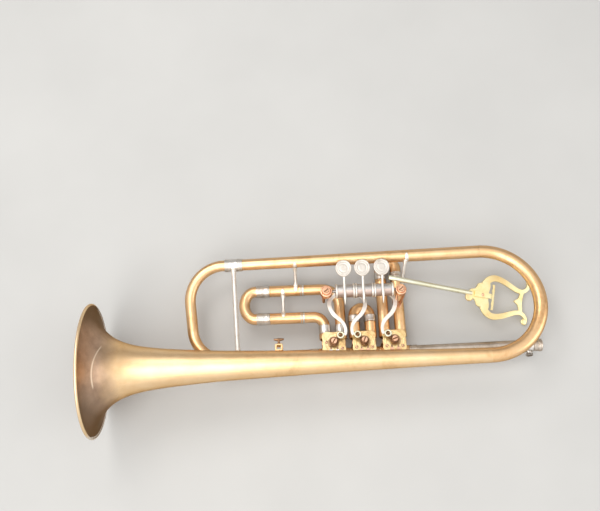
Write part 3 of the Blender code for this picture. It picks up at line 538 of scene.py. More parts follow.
METALS = (           # name, the record's slot, light, mid, dark, stain, roughness, size of the blotches
    ("brass", "brass", (0.93, 0.65, 0.38), (0.88, 0.57, 0.30), (0.66, 0.38, 0.17), (0.26, 0.14, 0.07),
     (0.28, 0.40)),
    ("yellow_brass", "brass", (0.95, 0.80, 0.48), (0.90, 0.70, 0.37), (0.66, 0.45, 0.20),
     (0.28, 0.17, 0.09), (0.34, 0.46), 80),
    ("cover", "brass", (1.0, 0.88, 0.52), (0.96, 0.72, 0.36), (0.74, 0.44, 0.18), (0.30, 0.17, 0.08),
     (0.24, 0.40), 52, 0.9),
    ("nickel", "nickel_silver", (0.82, 0.80, 0.77), (0.74, 0.71, 0.67), (0.50, 0.45, 0.38),
     (0.28, 0.22, 0.16), (0.26, 0.38), 70),
    ("lead_nickel", "nickel_silver", (0.70, 0.63, 0.56), (0.58, 0.50, 0.42), (0.40, 0.32, 0.25),
     (0.24, 0.18, 0.12), (0.28, 0.40), 70),
    ("touch", "nickel_silver", (0.82, 0.78, 0.73), (0.74, 0.69, 0.63), (0.56, 0.50, 0.44),
     (0.36, 0.30, 0.25), (0.40, 0.54), 110),
    ("worn_nickel", "nickel_silver", (0.95, 0.93, 0.89), (0.88, 0.85, 0.80), (0.70, 0.64, 0.57),
     (0.40, 0.33, 0.27), (0.42, 0.55), 110),
    ("crank", "nickel_silver", (0.66, 0.46, 0.28), (0.50, 0.33, 0.18), (0.26, 0.15, 0.08),
     (0.10, 0.06, 0.04), (0.34, 0.48), 120),
    ("copper", "copper", (0.92, 0.62, 0.44), (0.84, 0.50, 0.33), (0.52, 0.27, 0.16), (0.20, 0.10, 0.06),
     (0.30, 0.44), 120),
    ("bronze", "copper", (0.42, 0.25, 0.14), (0.28, 0.15, 0.08), (0.12, 0.065, 0.035), (0.05, 0.03, 0.02),
     (0.34, 0.50), 140),
    ("steel", "steel", (0.40, 0.38, 0.36), (0.27, 0.25, 0.23), (0.10, 0.08, 0.07), (0.05, 0.03, 0.02),
     (0.30, 0.46), 120),
    ("lyre_brass", "lyre_brass", (0.98, 0.92, 0.60), (0.96, 0.84, 0.46), (0.84, 0.62, 0.27),
     (0.46, 0.30, 0.13), (0.34, 0.46), 60, 0.3, 0.2),
    ("pale_brass", "lyre_brass", (0.90, 0.92, 0.78), (0.84, 0.84, 0.64), (0.66, 0.60, 0.38),
     (0.40, 0.30, 0.16), (0.34, 0.46), 60),
)
BELL_LOOK = ((0.94, 0.69, 0.42), (0.90, 0.62, 0.34), (0.72, 0.45, 0.22), (0.30, 0.17, 0.09), (0.32, 0.44), 24)
BARREL_LOOK = ((0.66, 0.65, 0.64), (0.55, 0.53, 0.52), (0.38, 0.34, 0.32), (0.26, 0.20, 0.16),
               (0.34, 0.46), 90)
FINISHES = {name: (metal(name, *look).material, slot) for name, slot, *look in METALS}
FINISHES["bell_brass"] = bell_metal(*BELL_LOOK).material, "bell_brass"
FINISHES["barrel"] = barrel_metal(*BARREL_LOOK).material, "nickel_silver"
FINISHES["cork"] = soft("cork", (0.62, 0.42, 0.28), (0.28, 0.15, 0.10), 0.9).material, "brass"

# ---- bell and bows


def level(points):
    """Flat points, set at the valve tubes' height."""
    return [(x, y, TUBE_LEVEL) for x, y in points]


def straight_tube(start, end, first, last, steps):
    """A tube that tapers from a first to a last radius."""
    path = spread(Vector(start), Vector(end), steps)
    return Shape().sweep(path, spread(first, last, steps), 64, WALL)


def crook(points, name, body, node):
    """A bent tube at the valve tubes' height."""
    Shape().sweep(level(points), [CROOK] * len(points), 56, WALL).done(name, "brass", node, body)


def beads(radius, length, rings, rise=0.45, width=0.9):
    """A sleeve's outline, from one end to the other, with half-round rings turned on it."""
    outline = [(radius, 0)]
    for at in rings:
        outline += [(radius, at - width / 2)]
        outline += [(radius + rise * sin(pi * k / 6), at - width / 2 * cos(pi * k / 6))
                    for k in range(1, 6)]
        outline += [(radius, at + width / 2)]
    return outline + [(radius, length)]


def ringed_sleeve(shape, start, end, radius, bore, rings, rise=0.45, width=0.9, sides=64):
    length = (Vector(end) - Vector(start)).length
    outline = beads(radius, length, rings, rise, width) + [(bore, length), (bore, 0)]
    return shape.turned(outline, 0.18, start, Vector(end) - Vector(start), sides, True)


def bell_radius(x):
    for (x1, r1), (x0, r0) in zip(BELL_PROFILE, BELL_PROFILE[1:]):
        if x >= x0:
            return lerp(r0, r1, (x - x0) / (x1 - x0))
    return 72.0


def build_bell():
    outside = smooth([(r, x) for x, r in BELL_PROFILE], 9)
    inside = []
    for i, point in enumerate(outside):
        along = outside[min(i + 1, len(outside) - 1)] - outside[max(i - 1, 0)]
        inside.append(point + Vector((along.y, -along.x)).normalized() * 0.55)
    inside[0].y = BELL_END
    rim = [(70.5 + 1.5 * cos(a), 1.5 + 1.5 * sin(a))
           for a in (radians(100 - 25 * k) for k in range(11))]
    outline = [*outside, *rim, *inside[::-1]]
    shape = Shape().lathe(outline, (0, 0, 0), X_AXIS, 192, True)
    shape.done("bell_body", "bell_brass", "bell")


def build_bows():
    bend = arc((BOW_X, BOW_RADIUS), BOW_RADIUS, -90, 90, 60)
    path = [(BOW_X - 2.4, 0), *bend, (BOW_X - 1, TOP_Y)]
    radii = [7.85, *spread(7.9, 6.9, 60), 6.85]
    shape = Shape().sweep([(x, y, 0) for x, y in path], radii, 64, WALL)
    shape.done("large_bow", "brass", "bell_bow")

    start, end = (FERRULE_X[1] - 1, TOP_Y, FERRULE_Z[1]), (BELL_END + 0.3, TOP_Y, 0)
    straight_tube(start, end, 6.2, 6.9, 24).done("top_tube_body", "brass", "top_tube")

    start, end = (FERRULE_X[0], TOP_Y, FERRULE_Z[0]), (FERRULE_X[1], TOP_Y, FERRULE_Z[1])
    shape = ringed_sleeve(Shape(), start, end, 6.9, 5.7, (0.8, 2.2, 3.6, 14.2, 15.6, 17.2), 0.4)
    shape.done("main_ferrule_body", "nickel", "main_ferrule")


def small_bow_path():
    upper, lower = SMALL_BOW_RADII
    start, turn = FERRULE_X[0] + 2, 180 + SMALL_BOW_LEAN
    bend = [(start, TOP_Y), *arc((FERRULE_X[0] - 1.3, TOP_Y - upper), upper, 90, turn, 30)]
    lean = radians(turn)
    fall = bend[-1][1] - PORT_Y - lower * (1 + sin(lean))
    centre = bend[-1][0] + fall * tan(lean) - lower * cos(lean)
    bend += [(lerp(bend[-1][0], centre + lower * cos(lean), i / 6), bend[-1][1] - fall * i / 6)
             for i in range(1, 6)]
    bend += arc((centre, PORT_Y + lower), lower, turn, 270, 30)
    count = len(bend) - 2
    drop = [lerp(FERRULE_Z[0], TUBE_LEVEL, 0.5 - 0.5 * cos(pi * max(i - 1, 0) / count))
            for i in range(len(bend))]
    path = [(x, y, z) for (x, y), z in zip(bend, drop)]
    end = VALVE_X[3] - STUB_END - 0.3
    return path + [(x, PORT_Y, TUBE_LEVEL) for x in spread(path[-1][0], end, 8)[1:]]


def build_small_bow():
    path = small_bow_path()
    shape = Shape().sweep(path, [CROOK] * len(path), 64, WALL)
    shape.done("small_bow_body", "brass", "small_bow")
    end = VALVE_X[3] - STUB_END - 0.4
    shape = ringed_sleeve(Shape(), *level(((end - 9, PORT_Y), (end, PORT_Y))), 6.55, 6.02, (0.8, 8.2), 0.35)
    shape.done("small_bow_ferrule", "nickel")


# ---- leadpipe

def build_leadpipe():
    shape = straight_tube(LEAD_START, LEAD_END, 6.0, 6.3, 20)
    ringed_sleeve(shape, LEAD_START, Vector(LEAD_START) + Vector((9, 0.06, 0)), 6.5, 6.0, (1.2, 7.8), 0.35)
    shape.done("leadpipe_body", "lead_nickel", "leadpipe")

    way = (Vector(LEAD_END) - Vector(LEAD_START)).normalized()
    start = Vector(LEAD_END) + way
    outline = [(6.3, 0), (6.3, 4.4), (6.0, 4.9), (6.55, 5.4), (6.9, 6.2), (6.9, 7.6), (6.6, 8.3),
               (6.9, 8.8), (6.5, 9.6), (5.6, 9.6), (4.9, 8.0), (4.4, 0), (4.4, -38), (5.2, -38), (5.2, 0)]
    shape = Shape().turned(outline, 0.3, start, way, 64, True)
    shape.done("receiver", "lead_nickel", "tuning_shank", "shank")

    middle = Vector((CLAMP_X, LEAD_END[1], TUBE_LEVEL))
    shape = ringed_sleeve(Shape(), middle - way * 4.5, middle + way * 4.5, 7.3, 6.7, (0.9, 8.1), 0.3)
    shape.turned(((1.75, 0), (1.75, 2.2), (2.8, 2.2), (2.9, 0)), 0.2, middle + Vector((0, -6.9, 0)),
                 (0, -1, 0), 32, True)
    shape.done("clamp_collar", "nickel", "shank_clamp")

    shape = Shape()
    knurl = [((3.9 if i % 4 < 2 else 3.6) * cos(a), (3.9 if i % 4 < 2 else 3.6) * sin(a))
             for i, a in enumerate(turns(104))]
    head = middle + Vector((0, -10.6, 0))
    place = Matrix.Translation(head) @ Matrix.Rotation(radians(90), 4, "X")
    shape.plate([knurl], 2.5, place, 0.15)
    shape.turned(((0, 0), (1.3, 0), (1.3, 4.2), (0, 4.2)), 0.2, head, (0, 1, 0), 24)
    shape.done("clamp_thumb_screw", "steel", "clamp_screw", "clamp_screw")


# ---- valves

def build_casing(number):
    x = VALVE_X[number]
    shape = Shape()
    body = [(11.9, CASING_BOTTOM), (13.3, CASING_BOTTOM), (13.3, CASING_BOTTOM + 2.4),
            (12.9, CASING_BOTTOM + 2.8), (12.9, CASING_TOP - 3.4), (13.3, CASING_TOP - 3.0),
            (13.3, CASING_TOP - 1.9), (12.7, CASING_TOP - 1.4), (3.4, CASING_TOP - 1.4),
            (3.4, CASING_TOP - 2.2), (11.9, CASING_TOP - 2.2)]
    shape.turned(body, 0.3, (x, VALVE_Y, 0), UP, 96, True)
    for side in (-1, 1):
        line = (x + side * 8.4, PORT_Y), (x + side * STUB_END, PORT_Y)
        slide = (x + side * PORT_OFFSET, VALVE_Y + 8), (x + side * PORT_OFFSET, VALVE_Y + STUB_REACH)
        for ends, ring in ((line, 6.9), (slide, 5.2)):
            ringed_sleeve(shape, *level(ends), 6.45, 5.3, (ring,), 0.2, 1.2, 48)
    shape.done(f"casing_{number}", "brass", f"valve_casing_{number}")

    outline = cover_outline()
    hole = arc((0, 0), 3.3, 0, 360, 32)[:-1]
    place = Matrix.Translation((x, VALVE_Y, CASING_TOP - 0.75))
    shape = Shape().plate([outline, hole], 1.5, place, 0.45)
    shape.turned(((9.4, 0), (10.6, 0), (10.6, 0.35), (10.0, 0.6), (9.4, 0.35)), 0.2,
                 (x, VALVE_Y, CASING_TOP - 0.1), UP, 96, True)
    shape.done(f"casing_cover_{number}", "cover", flat=True)
    build_cover_fittings(number)


def cover_outline():
    """A square plate with broad round corners and a shallow notch in the middle of each side."""
    outline = []
    for corner in range(4):
        centre = 45 + 90 * corner
        middle = Vector((cos(radians(centre)), sin(radians(centre)))) * 9.8
        outline += arc(middle, 6.2, centre - 60, centre + 60, 12)
        notch = radians(centre + 45)
        outline.append((12.0 * cos(notch), 12.0 * sin(notch)))
    return rounded(outline, 0.8, True)


def build_cover_fittings(number):
    """The plate's two small screws, and the two corks that stop the arm."""
    x = VALVE_X[number]
    shape, dark = Shape(), Shape()
    for dx, dy in (((-8.6, 1.0), (8.8, -6.6)) if number == 3 else ((8.6, -6.4), (-8.8, -5.8))):
        slotted_screw(shape, dark, (x + dx, VALVE_Y + dy, CASING_TOP + 0.05), 1.6, 0.7, 30)
    shape.done(f"cover_screws_{number}", "copper", flat=True)
    dark.done(f"cover_screw_seats_{number}", "bronze")
    shape, holder = Shape(), Shape()
    for side in (-1, 1):
        centre = (x + side * 3.6, VALVE_Y - 8.2, CASING_TOP + 0.85)
        holder.block((4.2, 3.2, 1.7), (centre[0], centre[1] - 1.1, centre[2] - 0.05), 0.5)
        shape.turned(((0, 0), (0.8, 0), (0.8, 3.2), (0, 3.2)), 0.3, centre, (0, 1, 0), 24)
    shape.done(f"corks_{number}", "cork")
    finish = "worn_nickel" if number == 3 else "copper"
    holder.done(f"cork_holders_{number}", finish, flat=True)


def slotted_screw(shape, dark, start, radius, height, turn):
    """A round screw head cut through by a straight slot, over a dark seat whose colour is painted shade in
    the slot.
    """
    head = Matrix.Translation(Vector(start) + Vector((0, 0, height * 0.7)))
    head = head @ Matrix.Rotation(radians(turn), 4, "Z")
    edge = degrees(asin(SLOT_SHARE))
    for side in (-1, 1):
        rim = [(px, py * side) for px, py in arc((0, 0), radius, edge, 180 - edge, 14)]
        shape.plate([rim], height * 0.6, head, min(0.25, height * 0.25))
    # The seat's dark bronze is painted shade, showing in the slot and in a thin ring round the head.
    dark.turned(((0, 0), (radius + 0.3, 0), (radius + 0.3, height * 0.3), (0, height * 0.45)), 0.1,
                start, UP, 32)


def build_valve_bottom(number):
    x = VALVE_X[number]
    outline = [(0, -4.7), (3.0, -4.7), (3.4, -4.3), (4.2, -4.3), (4.6, -4.7), (9.6, -4.7), (11.6, -4.7),
               (12.4, -4.2), (12.8, -3.4), (12.8, -0.9), (12.5, -0.6), (12.8, -0.3), (12.8, 0),
               (11.2, 0), (11.2, -3), (0, -3)]
    shape = Shape().turned(outline, 0.25, (x, VALVE_Y, CASING_BOTTOM - 0.3), UP, 96)
    shape.done(f"bottom_cap_{number}", "yellow_brass", f"dust_cap_{number}")


def build_stop_arm(number):
    x, side = VALVE_X[number], VALVE_SIDE[number]
    bottom = CASING_TOP + 0.5
    reach = ARM_RADIUS * sqrt(0.5)
    pin = (x + side * reach, VALVE_Y + reach)
    shape = Shape()
    hub = [(3.0, 0), (4.6, 0), (4.6, 0.9), (4.3, 1.3), (4.3, 2.3), (3.9, 2.9), (3.0, 2.9)]
    shape.turned(hub, 0.25, (x, VALVE_Y, bottom), UP, 48, True)
    path = [Vector((x, VALVE_Y)).lerp(Vector(pin), t) for t in (0.3, 0.5, 0.75, 1.0)]
    shape.plate([strip(path, [6.4, 4.6, 3.8, 3.6])], 1.5, Matrix.Translation((0, 0, bottom + 2.2)), 0.3)
    first, last = STOP_ENDS[side]
    stop = arc((0, 0), 6.8, first, last, 36) + arc((0, 0), 3.2, last, first, 24)
    shape.plate([stop], 1.1, Matrix.Translation((x, VALVE_Y, bottom + 0.45)), 0.2)
    stud = [(0, 1.4), (2.0, 1.4), (2.0, 4.2), (0.9, 4.6), (0.9, 8.2), (0.6, 8.9), (0, 8.9)]
    shape.turned(stud, 0.2, (*pin, bottom), UP, 32)
    shape.done(f"crank_{number}", "crank", f"stop_arm_{number}", f"rotor_{number}", flat=True)

    low = bottom + 3.0
    dark = Shape()
    washer = [(1.0, 4.4), (3.5, 4.4), (3.5, 5.3), (1.0, 5.5)]
    dark.turned(washer, 0.15, (*pin, bottom), UP, 32, True)
    rosette = [(2.9, 0)] + [(4.5 + 0.75 * cos(a), 0.5 + 0.75 * sin(a))
                            for a in (radians(-60 + 30 * k) for k in range(7))]
    rosette += [(3.9, 0.55), (3.5, 0.9), (2.9, 0.8)]
    dark.turned(rosette, 0.12, (x, VALVE_Y, low), UP, 64, True)

    shape = Shape()
    base = [(0, 0.2), (3.3, 0.2), (3.3, 1.1), (3.0, 1.4), (3.0, 2.9), (0, 2.9)]
    shape.turned(base, 0.25, (x, VALVE_Y, low), UP, 48)
    slotted_screw(shape, dark, (x, VALVE_Y, low + 2.9), 3.2, 2.2, SLOT_TURN[number])
    shape.done(f"rotor_screw_{number}", "copper", f"stop_screw_{number}", f"rotor_{number}", flat=True)
    dark.done(f"rosette_{number}", "bronze", body=f"rotor_{number}")


# ---- slides

def leg(shape, start, end, collar, rings):
    """A ringed ferrule with the inner slide tube that it carries."""
    length = (Vector(end) - Vector(start)).length
    outline = beads(6.6, collar, rings, 0.32, 0.8)
    outline = [(4.85, 0), *outline, (LEG, collar), (LEG, length), (4.85, length)]
    return shape.turned(outline, 0.15, start, Vector(end) - Vector(start), 56, True)


def slide_sleeve(name, node, x, top, rings, rise, width):
    """An outer slide tube that stands on a valve's stub."""
    shape = ringed_sleeve(Shape(), *level(((x, STUB_TOP), (x, top))), SLEEVE, SLEEVE - WALL,
                          [top - STUB_TOP - ring for ring in rings], rise, width, 56)
    shape.done(name, "brass", node)


def build_first_slide():
    x, (low, high) = VALVE_X[1], FIRST_FERRULE
    bend = arc((x, high + 5), PORT_OFFSET, 180, 0, 36)
    crook([(x - PORT_OFFSET, high - 1), *bend, (x + PORT_OFFSET, high - 1)],
          "first_crook", "first_slide", "first_slide_crook")
    for side, place in (("left", x - PORT_OFFSET), ("right", x + PORT_OFFSET)):
        slide_sleeve(f"first_sleeve_{side}", f"first_slide_tube_{side}", place, low - 0.3,
                     (1.6, 3.4), 0.2, 0.9)
        shape = leg(Shape(), *level(((place, high), (place, high - FIRST_LEG))), high - low,
                    (0.9, 2.3, 5.4, 7.0))
        shape.done(f"first_leg_{side}", "nickel", f"first_slide_leg_{side}", "first_slide")


def build_second_slide():
    x, (low, high) = VALVE_X[2], SECOND_FERRULE
    legs = Shape()
    for side, place in (("left", x - PORT_OFFSET), ("right", x + PORT_OFFSET)):
        slide_sleeve(f"second_sleeve_{side}", f"second_slide_tube_{side}", place, low - 0.3, (1.1,), 0.3, 1.2)
        leg(legs, *level(((place, high), (place, STUB_TOP + 1))), high - low, (1.0, 6.6))
    legs.done("second_legs", "nickel", body="second_slide")
    bend = arc((x, high), PORT_OFFSET, 180, 0, 36)
    crook([(x - PORT_OFFSET, high - 1), *bend, (x + PORT_OFFSET, high - 1)],
          "second_crook", "second_slide", "second_slide")


def build_third_slide():
    upper, lower = THIRD_Y["upper"], THIRD_Y["lower"]
    left, right = THIRD_FERRULE
    centre, high = (upper + lower) / 2, (upper - lower) / 2
    bend = [(left - 1.3 + THIRD_CROOK_DEPTH * px, centre + high * py)
            for px, py in arc((0, 0), 1, 90, 270, 48)]
    crook([(left + 1, upper), *bend, (left + 1, lower)], "third_crook", "third_slide", "third_slide_crook")
    for side, y in THIRD_Y.items():
        shape = leg(Shape(), *level(((left, y), (left + THIRD_LEG, y))), right - left,
                    (1.0, 2.6, 4.2, 5.8, 7.4, 12.2, 13.8))
        shape.done(f"third_leg_{side}", "nickel", f"third_slide_leg_{side}", "third_slide")
        build_third_tube(side, y)


def build_third_tube(side, y):
    bend_x, radius = THIRD_BENDS[side]
    shape = ringed_sleeve(Shape(), *level(((THIRD_FERRULE[1] + 0.3, y), (229, y))), SLEEVE, SLEEVE - WALL,
                          (0.8, 36.4), 0.25, 1.0, 56)
    bend = arc((bend_x, y - radius), radius, 90, 0, 24)
    x, turn_end = bend[-1]
    path = [(228, y), *bend, *[(x, low) for low in spread(turn_end, STUB_TOP, 6)[1:]]]
    shape.sweep(level(path), [CROOK] * len(path), 56, WALL)
    shape.done(f"third_tube_{side}", "brass", f"third_slide_tube_{side}")
    shape = ringed_sleeve(Shape(), *level(((225.5, y), (230.2, y))), 6.35, 6.26, (0.7, 4.0), 0.25)
    ringed_sleeve(shape, *level(((x, STUB_TOP), (x, STUB_TOP + 10))), 6.5, 6.02, (0.8, 9.2), 0.3)
    shape.done(f"third_tube_rings_{side}", "nickel")


# ---- keys

def pin_place(number):
    x = VALVE_X[number] + VALVE_SIDE[number] * 4.0
    return x, ROD_Y + EAR_LENGTH * sin(EAR_LEAN), ROD_Z - EAR_LENGTH * cos(EAR_LEAN)


def build_key(number):
    left, right = BARREL_X[number]
    length = right - left
    shape = Shape()
    collar, full, bore, inside = BARREL_RADIUS + 0.6, BARREL_RADIUS - 0.2, 1.85, 5.4
    half = [(bore, 0), (collar, 0), (collar, 1.5), (full - 0.3, 1.7), (full - 0.3, 2.2), (full, 2.4)]
    outline = half + [(r, length - h) for r, h in half[::-1]]
    outline += [(bore, length - 1.3), (inside, length - 1.3), (inside, 1.3), (bore, 1.3)]
    shape.turned(outline, 0.2, (left, ROD_Y, ROD_Z), (1, 0, 0), 64, True)
    pin_x, pin_y, pin_z = pin_place(number)
    side = VALVE_SIDE[number]
    ear_x = pin_x + side * 3.1
    ear = arc((0, 0), 3.6, 10, 170, 12)
    ear += arc((0, -EAR_LENGTH), 2.6, 190, 350, 10)
    upright = Matrix.Rotation(radians(90), 4, "Y") @ Matrix.Rotation(radians(90), 4, "Z")
    place = Matrix.Translation((ear_x, ROD_Y, ROD_Z)) @ Matrix.Rotation(EAR_LEAN, 4, "X") @ upright
    shape.plate([ear], 2.0, place, 0.3)
    shape.bar((ear_x - side * 0.2, pin_y, pin_z), (pin_x - side * 1.9, pin_y, pin_z), 1.2, 20)
    shape.bar((ear_x - side * 0.2, pin_y, pin_z), (ear_x + side * 1.4, pin_y, pin_z), 1.9, 20)
    shape.done(f"lever_{number}", "barrel", f"key_{number}", f"key_{number}", flat=True)
    shape = Shape()
    for start in (left + 0.3, right - 2.1):
        ringed_sleeve(shape, (start, ROD_Y, ROD_Z), (start + 1.8, ROD_Y, ROD_Z), collar + 0.1,
                      collar - 0.5, (0.9,), 0.25, 1.2)
    shape.done(f"lever_rings_{number}", "worn_nickel", body=f"key_{number}")

    x, top = DISC_X[number], ROD_Z + BARREL_RADIUS + 0.6
    stem = [(x, 61.8, top - 5.4), (x, 65, top - 3.2), (x, 69, top - 1.1), (x, 73, top),
            (x, ROD_Y, top + 0.1), (x, 84, top + 0.5), (x, 89, top + 1.6), (x, 93.5, DISC_Z - 1.2),
            (x, 99, DISC_Z - 1.1)]
    radii = [0.3, 0.85, 1.3, 1.5, 1.55, 1.3, 1.2, 1.5, 1.8]
    path = smooth([(*p, r) for p, r in zip(stem, radii)], 4)
    shape = Shape().sweep([p[:3] for p in path], [p[3] for p in path], 20, flat=0.85)
    shape.done(f"stem_{number}", "worn_nickel", body=f"key_{number}")
    outline = [(0, -0.9), (0.94, -0.9), (1.0, -0.5), (1.0, 0.3), (0.97, 0.7), (0.9, 0.86), (0.80, 0.78),
               (0.77, 0.62), (0.74, 0.74), (0.56, 0.60), (0.53, 0.46), (0.50, 0.56), (0.25, 0.44), (0, 0.4)]
    shape = Shape()
    touch_plate(shape, outline, (x, DISC_Y, DISC_Z))
    shape.done(f"touch_{number}", "touch", body=f"key_{number}")


def touch_plate(shape, outline, centre):
    """A slightly dished oval plate, broader at its far end."""
    def place(radius, height, a):
        across = DISC_HALF[0] * (1 + 0.03 * sin(a)) * radius * cos(a)
        return Vector(centre) + Vector((across, DISC_HALF[1] * radius * sin(a), height))

    shape.grid(shape.rings(outline, 72, place), [(radius * 0.01, 0.05) for radius, _ in outline], False)


def build_link(number):
    side = VALVE_SIDE[number]
    pin_x, pin_y, pin_z = pin_place(number)
    ring_x = VALVE_X[number] + side * RING_OFFSET
    ring_y = VALVE_Y + ARM_RADIUS * sqrt(0.5)
    shape = Shape()
    path = smooth([(ring_x - side * dx, y) for dx, y in LINK_PATH[:-1]], 6)
    count = len(path) - 1
    widths = [3.4 + 1.3 * sin(pi * min(1.0, i / count * 1.15)) for i in range(count + 1)]
    shape.plate([strip(path, widths)], 1.8, Matrix.Translation((0, 0, pin_z)), 0.45)
    ring = [(2.3, -1.2), (3.9, -1.2), (4.2, -0.6), (4.2, 0.7), (3.8, 1.4), (2.6, 1.4), (2.3, 1.0)]
    round_eye = Shape().turned(ring, 0.3, (ring_x, ring_y, pin_z), UP, 48, True)
    round_eye.done(f"link_ring_{number}", "pale_brass", body=f"link_{number}", flat=True)
    eye = [(1.7, -1.3), (3.1, -1.3), (3.1, 1.3), (1.7, 1.3)]
    shape.turned(eye, 0.3, (pin_x, pin_y, pin_z), (1, 0, 0), 32, True)
    shape.done(f"link_bar_{number}", "worn_nickel", f"key_link_{number}", f"link_{number}", flat=True)


def build_stand():
    shape = Shape().bar((ROD_X[0] - 1, ROD_Y, ROD_Z), (ROD_X[1] + 1, ROD_Y, ROD_Z), 1.5, 24)
    shape.done("hinge_rod", "steel", "lever_rod")
    inward = (-0.1736, -0.9848, 0.0)
    legs = {"left": [[(253, 76.5, 1.5), (252.3, 75.4, -6), (252.1, 75.6, -16), (252.2, 77.6, -27),
                      (252.3, 82.6, -32.8), (252.3, 88.2, -34)]],
            "right": [[(339.6, 76, 1.5), (340.8, 75.2, -6), (339.6, 73.2, -16), (336.9, 70.4, -26.6)],
                      [(333.8, 76, 1.5), (332.9, 74.4, -6), (333.8, 71.5, -16), (336.3, 69.6, -26.4)]]}
    feet = {"left": ((252.36, 88.64, TUBE_LEVEL), inward), "right": ((336.6, 70.2, -27.3), UP)}
    for side, (x, y, full) in POSTS.items():
        name, top = f"lever_post_{side}", POST_TOP
        shape = Shape()
        saddle = [(0, -0.2), (full - 0.6, -0.2), (full, 0.4), (full, top - 2.2), (full - 0.4, top - 1.7),
                  (full - 1.3, top - 1.5), (full - 1.6, top - 2.0), (full - 2.0, top - 1.5),
                  (full - 2.3, top - 0.2), (full - 2.7, top), (0, top)]
        shape.turned(saddle, 0.2, (x, y, 0), UP, 56)
        for leg_path in legs[side]:
            curve = smooth(leg_path, 8)
            radii = [2.1 - 0.6 * sin(pi * i / (len(curve) - 1)) for i in range(len(curve))]
            shape.sweep(curve, radii, 20)
        pad = [(0, 0), (3.2, 0), (3.2, 0.5), (2.4, 1.2), (0, 1.6)]
        shape.turned(pad, 0.25, *feet[side], 40)
        shape.done(f"saddle_{side}", "copper", name, flat=True)
        shape, dark = Shape(), Shape()
        slotted_screw(shape, dark, (x, y, top - 0.1), 2.7, 1.1, 40)
        shape.done(f"saddle_screw_{side}", "copper", flat=True)
        dark.done(f"saddle_seat_{side}", "bronze")


# ---- braces

def brace(name, start, end, tubes, foot, waist, along=(X_AXIS, X_AXIS)):
    """A turned strut between two tube axes, with an oval pad soldered on each tube."""
    start, end = Vector(start), Vector(end)
    way = end - start
    low, high = tubes[0] + 0.2, way.length - tubes[1] - 0.2
    middle = (low + high) / 2
    half = [(foot, 0), (foot, 0.6), (foot * 0.82, 1.1), (waist + 0.7, 1.9), (waist + 0.35, 3.6), (waist, 6.0)]
    outline = [(0, low), *[(r, low + h) for r, h in half], (waist * 1.12, middle),
               *[(r, high - h) for r, h in half[::-1]], (0, high)]
    shape = Shape().turned(outline, 0.25, start, way, 40)
    for point, axis, outward, radius in ((start, along[0], way, tubes[0]), (end, along[1], -way, tubes[1])):
        if axis:
            over = outward.normalized() + Vector((0, 0, 0.75 if radius < 10 else 0))
            shape.flange(point, axis, over, radius, foot * 0.85, min(58, degrees(8 / radius)))
    shape.done(f"{name}_strut", "worn_nickel", name)


def top_tube_height(x):
    return lerp(FERRULE_Z[1], 0, (x - FERRULE_X[1]) / (BELL_END - FERRULE_X[1]))


def build_braces():
    at_ferrule, at_bell = BELL_BRACE_X
    ferrule = (at_ferrule, TOP_Y, sum(FERRULE_Z) / 2)
    brace("brace_bell", ferrule, (at_bell, 0, 0), (7.0, bell_radius(at_bell)), 3.4, 2.3)
    upper, lower = ((y, TUBE_LEVEL) for y in THIRD_Y.values())
    x = TOP_BRACE_X
    brace("brace_top_tube", (x, TOP_Y, top_tube_height(x)), (x, *upper), (6.35, 6.25), 2.9, 1.45)
    x = THIRD_BRACE_X
    brace("brace_third_slide", (x, *upper), (x, *lower), (6.25, 6.25), 2.9, 1.45)
    x = POST_BRACE_X
    post_x, post_y, post_radius = POSTS["right"]
    brace("brace_lever_post", (x, TOP_Y, top_tube_height(x)), (post_x, post_y, ROD_Z),
          (6.65, post_radius + 0.1), 2.5, 1.5, (X_AXIS, None))


# ---- lyre

def build_socket():
    x, z = SOCKET_X, SOCKET_Z
    base = bell_radius(x)
    shape = Shape()
    place = Matrix.Translation((x, base + 4.3, z))
    square = [(4.3, -4.0), (4.3, 4.0), (-4.3, 4.0), (-4.3, -4.0)]
    hole = [(2.1, -2.1), (2.1, 2.1), (-2.1, 2.1), (-2.1, -2.1)]
    shape.plate([rounded(square, 1.8, True), hole], 9.0, place, 0.5)
    shape.flange((x, 0, z), X_AXIS, (0, 1, 0), base - 0.6, 7.5, 24, 1.0)
    shape.done("lyre_holder", "brass", "lyre_socket", flat=True)
    shape = Shape()
    stem = [(0, 0), (1.7, 0), (1.7, 1.2), (1.25, 1.7), (1.25, 3.2), (1.9, 4.0), (1.9, 5.2), (0, 5.4)]
    shape.turned(stem, 0.25, (x, base + 8.6, z), (0, 1, 0), 32)
    height = base + 13.9
    path = smooth([(x - 5.5, height + 0.5, z), (x - 3, height + 0.1, z), (x, height, z),
                   (x + 3, height + 0.1, z), (x + 5.5, height + 0.5, z)], 6)
    count = len(path) - 1
    radii = [1.35 + 0.3 * cos(2 * pi * (i / count - 0.5)) for i in range(count + 1)]
    radii[0] = radii[-1] = 0.8
    shape.sweep(path, radii, 24)
    shape.done("holder_screw", "bronze", "socket_screw", "socket_screw")


def lyre_place():
    along = Vector(LYRE_AXIS).normalized()
    normal = Vector(LYRE_NORMAL)
    normal = (normal - along * normal.dot(along)).normalized()
    turn = Matrix((along, normal.cross(along), normal)).transposed().to_4x4()
    return Matrix.Translation(LYRE_ORIGIN) @ turn


